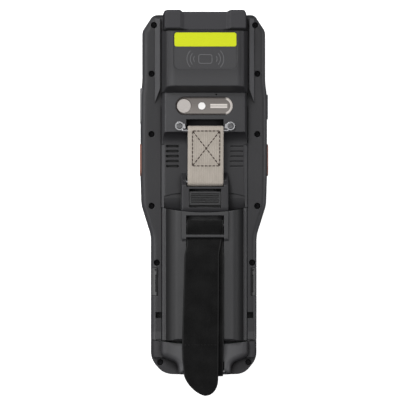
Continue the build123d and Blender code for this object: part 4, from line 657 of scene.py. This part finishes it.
link_width = 20.5
link_x = 0.3
link_thickness = 1.3
link_bar = (34.5, 30.3)
link_bar_turn = 2.1
link_pin = (5.3, 27.6)
link_pin_turn = 1.9
link_over_bar = 2.75
link_over_pin = 2.55
belt_top = link_thickness / 2
layer_drop = link_thickness + 0.02
sewn_y = 15.0


def distance_along(line):
    """How far each point of a line lies from its start: the sum of the steps up to it."""
    return np.concatenate([[0], np.cumsum(np.linalg.norm(np.diff(line, axis=0), axis=1))])


def rounded_path(corners, radii, step):
    """Points at even steps along straight runs, (Y, Z), whose corners are turned by arcs. An arc
    starts before its corner by the radius times the tangent of half the turn."""
    corners = np.array(corners, float)
    runs = np.diff(corners, axis=0)
    runs /= np.linalg.norm(runs, axis=1)[:, None]
    pieces = [corners[:1]]
    for corner, radius, before, after in zip(corners[1:-1], radii, runs[:-1], runs[1:]):
        turn = math.atan2(before[0] * after[1] - before[1] * after[0], float(before @ after))
        side = math.copysign(1, turn) * np.array([-before[1], before[0]])
        start = corner - before * radius * abs(math.tan(turn / 2))
        sweep = np.linspace(0, abs(turn), 24)[:, None]
        pieces.append(start + radius * (np.sin(sweep) * before + (1 - np.cos(sweep)) * side))
    line = np.concatenate([*pieces, corners[-1:]])
    way = distance_along(line)
    even = np.linspace(0, way[-1], int(way[-1] / step))
    return np.stack([np.interp(even, way, line[:, 0]), np.interp(even, way, line[:, 1])], axis=-1)


def band(line, left, right, thickness, spans=8):
    """A strap's skin and the values for its weave. Round each point of the path goes a flattened
    ring: level across both faces, and half a circle of the thickness at each edge."""
    ahead = headings(line)
    flat = np.linspace(1, -1, spans + 1)
    bend = np.linspace(0, np.pi, 6)[1:-1]
    spread = np.concatenate([flat, 0 * bend - 1, -flat, 0 * bend + 1])
    bulge = np.concatenate([0 * flat, -np.sin(bend), 0 * flat, np.sin(bend)])
    lift = np.concatenate([0 * flat + 1, np.cos(bend), 0 * flat - 1, -np.cos(bend)])
    half = ((right - left) / 2)[:, None]
    middle = ((right + left) / 2)[:, None]
    thick = np.minimum(thickness / 2, half * 0.9)
    x = middle + spread * (half - thick) + bulge * thick
    y = line[:, :1] - ahead[:, 1:] * lift * thick
    z = line[:, 1:] + ahead[:, :1] * lift * thick
    values = {
        "along": np.broadcast_to(distance_along(line)[:, None], x.shape),
        "across": x - middle,
        "rim": half - np.abs(x - middle),
    }
    return np.stack([x, y, z], axis=-1), values


def woven(name, yarn, shade, rib, pick, sheen, fuzz):
    """Webbing: ribs along the strap and picks across it. The height is the sum of the two waves'
    sizes, the picks set back by half a pick on every other rib, with fuzz on top."""
    material, skin, start = open_material(name, sheen=sheen, specular=0.2)
    fibre = start.place().noise(2600, 3)
    cloud = start.place().noise(160, 3)
    ribs = (start.stored("across") * (math.pi / rib)).wave()
    picks = (start.stored("along") * (math.pi / pick) + ribs.sign() * (math.pi / 4)).wave()
    height = ribs.size() * 0.6 + picks.size() * 0.5
    selvedge = start.stored("rim").step(2.1, 1.5)
    tone = height * 0.3 + fibre * 0.5 + (cloud - 0.5) * 0.5 + selvedge * 0.1 + 0.1
    feed(
        skin,
        Base_Color=tone.step(0.1, 1.1).blend(shade, yarn),
        Roughness=fibre * 0.1 + 0.8,
        Normal=(height + fibre * fuzz).bump(0.7, 0.18 * mm),
    )
    return material


bar_run_z = link_bar[1] + link_over_bar - belt_top
pin_run_z = link_pin[1] + link_over_pin - belt_top
link_slope = (bar_run_z - pin_run_z) / (link_bar[0] - link_pin[0])
sewn_z = pin_run_z + (sewn_y - link_pin[0]) * link_slope - layer_drop
link_corners = [
    (sewn_y, sewn_z),
    (link_bar[0] - 4.6, bar_run_z - 4.6 * link_slope - layer_drop),
    (link_bar[0] - 1.5, link_bar[1] - link_bar_turn),
    (link_bar[0] + link_bar_turn, link_bar[1] - link_bar_turn),
    (link_bar[0] + link_bar_turn, link_bar[1] + link_bar_turn + 0.15),
    (link_pin[0] - link_pin_turn, pin_run_z - link_pin_turn * link_slope),
    (link_pin[0] - link_pin_turn, link_pin[1] - link_pin_turn),
    (link_pin[0] + 1.3, link_pin[1] - link_pin_turn),
    (link_pin[0] + 4.2, pin_run_z + 4.2 * link_slope - layer_drop),
    (sewn_y - 0.1, sewn_z),
]
link_radii = [3, 1.6, 2.05, 2.05, 1.85, 1.85, 1.4, 3]
link_line = rounded_path(link_corners, link_radii, 0.3)
link_edge = np.full(len(link_line), link_width / 2)
link_points, link_values = band(link_line, link_x - link_edge, link_x + link_edge, link_thickness)
pale_webbing = woven(
    "pale_webbing", (0.54, 0.49, 0.43), (0.35, 0.31, 0.265), rib=1.05, pick=0.62, sheen=0.15,
    fuzz=0.25,
)
link = add_piece(
    "webbing_belt", link_points, tube_faces(*link_points.shape[:2]), pale_webbing,
    values=link_values,
)
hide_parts("webbing_link")
dress(plated, "webbing_pin")

stitch_length = 2.0
stitch_pitch = 2.2
stitch_radius = 0.3
box_x = 0.5
box_half_width = 7.8
box_low_y = 14.4
box_high_y = 34.3


def seam(corners, pitch):
    """Middles and directions of stitches at even steps along a line of corners (X, Y)."""
    corners = np.array(corners, float)
    runs = np.diff(corners, axis=0)
    lengths = np.linalg.norm(runs, axis=1)
    middles, ahead = [], []
    for corner, run, length in zip(corners, runs, lengths):
        count = max(1, round(length / pitch))
        share = (np.arange(count) + 0.5) / count
        middles.append(corner + run * share[:, None])
        ahead.append(np.broadcast_to(run / length, (count, 2)))
    return np.concatenate(middles), np.concatenate(ahead)


def stitches(middles, ahead, length, radius, height, slope):
    """Points of many stitches: each is a spindle whose radius follows the cosine along its
    length to the power 0.35, flattened, on a plane that climbs with Y by the slope."""
    along = np.linspace(-1, 1, 7)
    thick = radius * np.maximum(np.cos(along * np.pi / 2), 0.0001) ** 0.35
    turn = np.linspace(0, 2 * np.pi, 8, endpoint=False)
    side = np.cos(turn)[None, :] * thick[:, None]
    rise = np.sin(turn)[None, :] * thick[:, None] * 0.7
    reach = np.broadcast_to((along * length / 2)[:, None], side.shape)
    across = np.stack([-ahead[:, 1], ahead[:, 0]], axis=-1)
    flat = (
        middles[:, None, None, :]
        + ahead[:, None, None, :] * reach[None, :, :, None]
        + across[:, None, None, :] * side[None, :, :, None]
    )
    level = height + slope * flat[..., 1] + rise[None]
    return np.concatenate([flat, level[..., None]], axis=-1)


def sew(name, seam_line, length, radius, height, slope, thread):
    """The stitches of a seam as one piece."""
    points = stitches(*seam_line, length, radius, height, slope)
    add_piece(name, points, tube_faces(*points.shape[1:3], len(points)), thread)


low_left = (box_x - box_half_width, box_low_y)
low_right = (box_x + box_half_width, box_low_y)
high_right = (box_x + box_half_width, box_high_y)
high_left = (box_x - box_half_width, box_high_y)
sewn_lines = (
    [low_left, low_right, high_right, high_left, low_left],
    [low_left, high_right],
    [high_left, low_right],
)
link_seams = [seam(corners, stitch_pitch) for corners in sewn_lines]
link_seam = [np.concatenate(lists) for lists in zip(*link_seams)]
seam_height = pin_run_z + belt_top - link_pin[0] * link_slope + 0.02
brown_thread = moulded("brown_thread", (0.045, 0.028, 0.021), (0.055, 0.036, 0.028), 0.8, grain=0.5)
sew(
    "webbing_stitches", link_seam, stitch_length, stitch_radius, seam_height, link_slope,
    brown_thread,
)

# ------------------------------------------------------------------------------------------
# Battery latch and its springs
# The latch is a ribbed slider of black acetal. Two springs of music wire push it down into the
# battery pack.
# ------------------------------------------------------------------------------------------

dress(moulded("latch_acetal", (0.028, 0.028, 0.029), (0.07, 0.07, 0.07), 0.45), "battery_latch")
spring_x = 6.0
spring_z = 28.6
spring_top_y = 1.3
spring_length = 4.6
spring_turns = 7
spring_radius = 0.62
spring_wire = 0.15


def coil(middle_x, top_y, middle_z, length, turns, radius, wire):
    """A spring along Y: the wire's middle goes round at the radius, sinking evenly, and round it
    stands a circle of the wire's radius, in the plane of Y and of the way outwards."""
    turn = np.linspace(0, 2 * np.pi * turns, turns * 16 + 1)[:, None]
    ring = np.linspace(0, 2 * np.pi, 6, endpoint=False)[None, :]
    reach = radius + wire * np.cos(ring)
    sink = (length - 2 * wire) * turn / turn[-1]
    return np.stack(
        [
            middle_x + reach * np.cos(turn),
            top_y - wire - sink + wire * np.sin(ring) + 0 * turn,
            middle_z + reach * np.sin(turn),
        ],
        axis=-1,
    )


music_wire = streaked_metal("music_wire", (0.035, 0.035, 0.037), (0.08, 0.08, 0.08), 0.5)
for side, word in ((-1, "left"), (1, "right")):
    points = coil(
        side * spring_x, spring_top_y, spring_z, spring_length, spring_turns, spring_radius,
        spring_wire,
    )
    spring = add_piece(
        f"{word}_latch_coil", points, tube_faces(*points.shape[:2]), music_wire
    )
    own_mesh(spring)
    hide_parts("latch_spring")

# ------------------------------------------------------------------------------------------
# Battery pack with its lid, cells and contacts, and the strap pin
# A bulged shell of smoother plastic closed by a welded lid, round two foil-wrapped cells. The
# strap pin is a steel rod pressed across the slot.
# ------------------------------------------------------------------------------------------

pack_shoulder = 23.4


def pack_painted_light(x, y, z, nx, ny, nz):
    """The low shoulders are painted lighter as highlights, and the bulge's sides are painted dark as
    shade.
    """
    shoulder = z.step(pack_shoulder + 0.8, pack_shoulder + 0.4)
    return shoulder * 0.3 - (1 - shoulder) * nx.size().step(0.08, 0.75) * 0.62


shell = moulded(
    "pack_plastic", (0.035, 0.035, 0.0365), (0.09, 0.09, 0.095), 0.42, grain=0.25, painted_light_and_dirt=pack_painted_light
)
dress(shell, "battery_pack", "battery_lid")
foil = streaked_metal("cell_foil", (0.6, 0.6, 0.62), (0.7, 0.7, 0.7), 0.4)
dress(foil, "battery_cells")
gilt = streaked_metal("gilt_contact", (0.75, 0.55, 0.22), (0.9, 0.75, 0.4), 0.3)
dress(gilt, "battery_contacts")
dress(plated, "strap_pin")

# ------------------------------------------------------------------------------------------
# Bottom cap, lower strap bar and dock connector
# The cap is the same hard rubber as at the scanner end, over the casing's lower end. The bar
# crosses its notch, and the hand strap starts round it. The connector's contacts are gilt.
# ------------------------------------------------------------------------------------------

cap_corner_height = 19.2
cap_hump_height = 26.5


def cap_painted_light(x, y, z, nx, ny, nz):
    """The raised middle is painted pale as a highlight where it faces up, and the low corners
    beside it are painted dark as shade."""
    middle = z.step(cap_corner_height + 3.3, cap_hump_height - 0.3) * nz.step(0.3, 0.9)
    corners = z.step(cap_corner_height + 2.4, cap_corner_height - 0.2) * 0.08
    return middle * (x.size().step(24, 13) * 0.55 + 0.3) - corners


cap_rubber = moulded(
    "cap_rubber", (0.036, 0.035, 0.038), (0.1, 0.1, 0.104), 0.55, grain=0.2, painted_light_and_dirt=cap_painted_light
)
dress(cap_rubber, "bottom_cap")
dress(plated, "bottom_strap_bar")
dress(gilt, "dock_connector")

# ------------------------------------------------------------------------------------------
# Hand strap
# One band of black hook-and-loop tape: round the lower bar, along the pack, round the strap
# pin under the keeper, and back over itself to a round free tip, held down by its loops.
# ------------------------------------------------------------------------------------------

tape_thickness = 1.4
tape_half_width = 10.6
tape_turn_y = -17.15
tape_corners = [
    (-98.8, 22.35),
    (-105.15, 22.35),
    (-105.15, 26.65),
    (-97.4, 27.6),
    (-86.4, 31.3),
    (-36.1, 31.3),
    (-27.2, 26.9),
    (-21.25, 26.15),
    (tape_turn_y, 26.15),
    (tape_turn_y, 31.42),
    (-23.4, 28.5),
    (-27.2, 28.5),
    (-36.1, 33.3),
    (-57.05, 34.3),
    (-97.2, 33.3),
    (-117.9, 29.7),
]
tape_radii = [2.15, 2.15, 6, 10, 6, 5, 3, 2.05, 2.05, 2, 4, 8, 200, 40]
tip_root_y = -104.0
tip_y = -116.9
tip_x = -0.1
tip_left_power = 1.5
tip_right_power = 2.2
left_corners = [(-104.8, -12.2), (-96.5, -13.15), (-88.5, -13.4), (-36.1, -11.9), (-31.3, -10.6)]
right_corners = [(-107.0, 7.5), (-36.1, 7.9), (-23.4, 10.6)]
hem_y = -87.8
hem_ends_x = (-12.2, 6.6)
hem_pitch = 1.9
hem_stitch = 1.5
hem_radius = 0.24


def free_edge(y, corners, power):
    """X of an edge of the free part: straight between its corners (Y, X), and round at the tip,
    where the share left of the half width is 1 less the power of the share of the way to the
    tip, all to one over that power."""
    start_y, start_x = corners[0]
    share = np.clip((start_y - y) / (start_y - tip_y), 0, 1)
    rounded = tip_x + (start_x - tip_x) * np.maximum(1 - share**power, 0) ** (1 / power)
    return np.where(y < start_y, rounded, np.interp(y, *np.array(corners).T))


tape_line = rounded_path(tape_corners, tape_radii, 0.5)
turned = np.arange(len(tape_line)) > np.argmax(tape_line[:, 0])
end = np.argmax(turned & (tape_line[:, 0] < tip_root_y))
past = np.linspace(0, np.pi / 2, 60)[1:]
last_y = tape_line[end, 0] + (tip_y - tape_line[end, 0]) * np.sin(past)
last_z = np.interp(-last_y, -tape_line[end:, 0], tape_line[end:, 1])
tape_line = np.concatenate([tape_line[: end + 1], np.stack([last_y, last_z], axis=-1)])
turned = np.concatenate([turned[: end + 1], np.ones(len(last_y), bool)])
left_x = free_edge(tape_line[:, 0], left_corners, tip_left_power)
right_x = free_edge(tape_line[:, 0], right_corners, tip_right_power)
left_x = np.where(turned, left_x, -tape_half_width)
right_x = np.where(turned, right_x, tape_half_width)
right_x = np.maximum(right_x, left_x + 0.1)
tape_points, tape_values = band(tape_line, left_x, right_x, tape_thickness)


def loop_pile(name, low, high, edge_highlight_colour):
    """Hook-and-loop tape: a nap of loops, whose height is the distance to the nearest cell's
    middle plus fine noise, inside plain woven edges 1.3 mm wide with a painted highlight line in each."""
    material, skin, start = open_material(name, sheen=0.08, specular=0.1)
    rim = start.stored("rim")
    place = start.place()
    nap = place.noise(1900, 4)
    cells = start.node("TexVoronoi", sockets={"Vector": place, "Scale": 1300})
    cloud = place.noise(120, 5)
    picks = (start.stored("along") * (math.pi / 0.5)).wave().size()
    plain = rim.step(1.5, 1.2)
    # A pale line near each edge is a painted highlight.
    line = (rim - 0.45).size().step(0.35, 0.1)
    height = (1 - plain) * (cells + nap * 0.8) * 0.7 + picks * 0.2
    tone = (nap - 0.5) * 0.9 + (cloud - 0.5) * 1.2 + 0.5
    feed(
        skin,
        Base_Color=(line * 0.6).blend(tone.step(0.0, 1.0).blend(low, high), edge_highlight_colour),
        Roughness=nap * 0.1 + 0.85,
        Normal=height.bump(0.8, 0.3 * mm),
    )
    return material


black_tape = loop_pile(
    "black_tape", (0.0035, 0.0035, 0.0035), (0.0108, 0.0108, 0.0108), (0.035, 0.035, 0.035)
)
tape = add_piece(
    "strap_tape", tape_points, tube_faces(*tape_points.shape[:2]), black_tape,
    values=tape_values,
)
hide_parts("hand_strap")

black_thread = moulded("black_thread", (0.004, 0.004, 0.004), (0.01, 0.01, 0.01), 0.8, grain=0.5)
hem_seam = seam([(end_x, hem_y) for end_x in hem_ends_x], hem_pitch)
hem_z = float(np.interp(-hem_y, -tape_line[turned][:, 0], tape_line[turned][:, 1])) + tape_thickness / 2
sew("strap_stitches", hem_seam, hem_stitch, hem_radius, hem_z, 0.0, black_thread)

# ------------------------------------------------------------------------------------------
# Side keys
# Each side has an orange scan key and a grey key above it, moulded in silicone-backed plastic.
# They stand a little proud of the flank and press inwards.
# ------------------------------------------------------------------------------------------

orange = moulded("orange_key", (0.3, 0.135, 0.1), (0.42, 0.24, 0.18), 0.5)
dress(orange, "left_scan_key", "right_scan_key")
grey_key = moulded("grey_key", (0.17, 0.17, 0.175), (0.3, 0.3, 0.305), 0.5)
dress(grey_key, "left_side_key", "right_side_key")

# ------------------------------------------------------------------------------------------
# Port covers and side contacts
# An oblong rubber cover on each side of the grip, on stub pins along the edge nearer the display.
# It swings outwards over the charging contacts in their black block.
# ------------------------------------------------------------------------------------------


def port_highlight_and_groove(x, y, z, nx, ny, nz):
    """The covers are painted lighter as a highlight along their outer edge, and their groove is darker."""
    outer_edge = x.size().step(grip_half_width - 2.5, grip_half_width - 1.7)
    groove = x.size().step(grip_half_width - 2.3, grip_half_width - 2.9)
    return outer_edge * 1.3 - groove * 0.7


rubber = moulded("cover_rubber", (0.03, 0.03, 0.031), (0.1, 0.1, 0.1), 0.6, painted_light_and_dirt=port_highlight_and_groove)
dress(rubber, "left_port_cover", "right_port_cover")
dress(module_black, "side_contacts")

# ------------------------------------------------------------------------------------------
# Main board, speaker and display
# A green circuit board fills the casing, and the speaker sits behind the sound slots. The
# display is a black glass pane bonded over a thin module.
# ------------------------------------------------------------------------------------------

board = moulded("solder_resist", (0.012, 0.06, 0.024), (0.05, 0.15, 0.07), 0.35, grain=0.05)
dress(board, "main_board")
dress(glazed("black_glass", (0.008, 0.008, 0.01), 0.05, dust=0.015, coat=0.5), "display_glass")
dress(module_black, "speaker", "display_module")

# ------------------------------------------------------------------------------------------
# Keypad: mat, front keys and their legends
# Hard grey caps on a silicone mat: twelve number keys, a round navigation key with the enter key
# in its middle, four corner keys and an orange scan key. Figures and signs are in pale ink.
# ------------------------------------------------------------------------------------------

dress(seal, "keypad_mat")
dress(orange, "front_scan_key")
number_keys = [f"key_{number}" for number in range(10)] + ["key_star", "key_hash"]
cap_plastic = moulded("keycap_plastic", (0.045, 0.045, 0.047), (0.12, 0.12, 0.124), 0.5)
dress(cap_plastic, *number_keys, "navigation_key", "enter_key")
dress(cap_plastic, "left_soft_key", "right_soft_key", "power_key", "delete_key")

legend_ink = moulded("legend_ink", (0.62, 0.62, 0.63), (0.7, 0.7, 0.7), 0.5, grain=0.05, edge=0.001 * mm)
legend_height = 5.0
legend_thickness = 0.03
sign_line = 0.5
sign_radius = 1.5
barb_reach = 1.0
power_stroke = (0.4, 2.0)
arrow_size = 1.1


def key_face(name):
    """The middle of a key's face (X, Y, Z) in millimetres, read from the key's box, and half its
    width and height."""
    box = np.array([corner[:] for corner in nodes[name].bound_box]) / mm
    middle = (box.min(axis=0) + box.max(axis=0)) / 2
    return np.array([middle[0], middle[1], box[:, 2].min()]), (np.ptp(box, axis=0) / 2)[:2]


def print_figure(name, figure):
    """A figure in the plain typeface on the face of a key. The face points down, so X and Z of
    the figure change sign."""
    letters = bpy.data.curves.new(f"{name}_figure", "FONT")
    letters.body = figure
    letters.size = legend_height
    letters.extrude = legend_thickness
    letters.resolution_u = 4
    letters.align_x = "CENTER"
    writer = bpy.data.objects.new(f"{name}_writer", letters)
    solid = bpy.data.meshes.new_from_object(writer)
    shell = bmesh.new()
    shell.from_mesh(solid)
    bmesh.ops.remove_doubles(shell, verts=shell.verts, dist=0.0001)
    points = np.array([vertex.co[:] for vertex in shell.verts])
    faces = [[vertex.index for vertex in face.verts] for face in shell.faces]
    shell.free()
    bpy.data.objects.remove(writer)
    points = points - (points.min(axis=0) + points.max(axis=0)) / 2
    middle, _ = key_face(name)
    add_piece(f"{name}_legend", points * (-1, 1, -1) + middle, faces, legend_ink, name)


def print_line(name, word, line):
    """A line of pale ink on the face of a key."""
    middle, _ = key_face(name)
    add_piece(
        f"{name}_{word}", ink_line(line + middle[:2], sign_line, middle[2], -legend_thickness),
        tube_faces(len(line), 4), legend_ink, name,
    )


for name, figure in zip(number_keys, "0123456789*#"):
    print_figure(name, figure)

level_line = np.linspace(-sign_radius, sign_radius, 5)[:, None] * (1, 0)
for name in ("left_soft_key", "right_soft_key"):
    print_line(name, "bar", level_line)
print_line("delete_key", "stroke", level_line)
barb_foot = sign_radius - barb_reach
barb = np.array([(barb_foot, barb_reach), (sign_radius, 0), (barb_foot, -barb_reach)])
print_line("delete_key", "barb", barb)
open_ring = np.radians(np.linspace(125, 415, 25))
print_line("power_key", "ring", sign_radius * circle(open_ring))
print_line("power_key", "stroke", np.linspace(*power_stroke, 5)[:, None] * (0, 1))
whole_ring = np.radians(np.linspace(0, 360, 33))
print_line("enter_key", "ring", sign_radius * circle(whole_ring))

# Seen from the front, +X is to the left.
pad_middle, pad_half = key_face("navigation_key")
_, enter_half = key_face("enter_key")
for heading, word in ((0, "left"), (90, "up"), (180, "right"), (270, "down")):
    out = circle(math.radians(heading))
    over = np.array([-out[1], out[0]])
    start = pad_middle[:2] + out * (pad_half + enter_half).min() / 2
    tips = np.array([start + out * arrow_size * 0.6, start + over * arrow_size, start - over * arrow_size])
    levels = pad_middle[2] - np.array([0, legend_thickness])
    arrow = np.concatenate(
        [np.broadcast_to(tips, (2, 3, 2)), np.broadcast_to(levels[:, None, None], (2, 3, 1))], axis=2
    )
    add_piece(f"navigation_{word}_arrow", arrow, tube_faces(2, 3), legend_ink, "navigation_key")
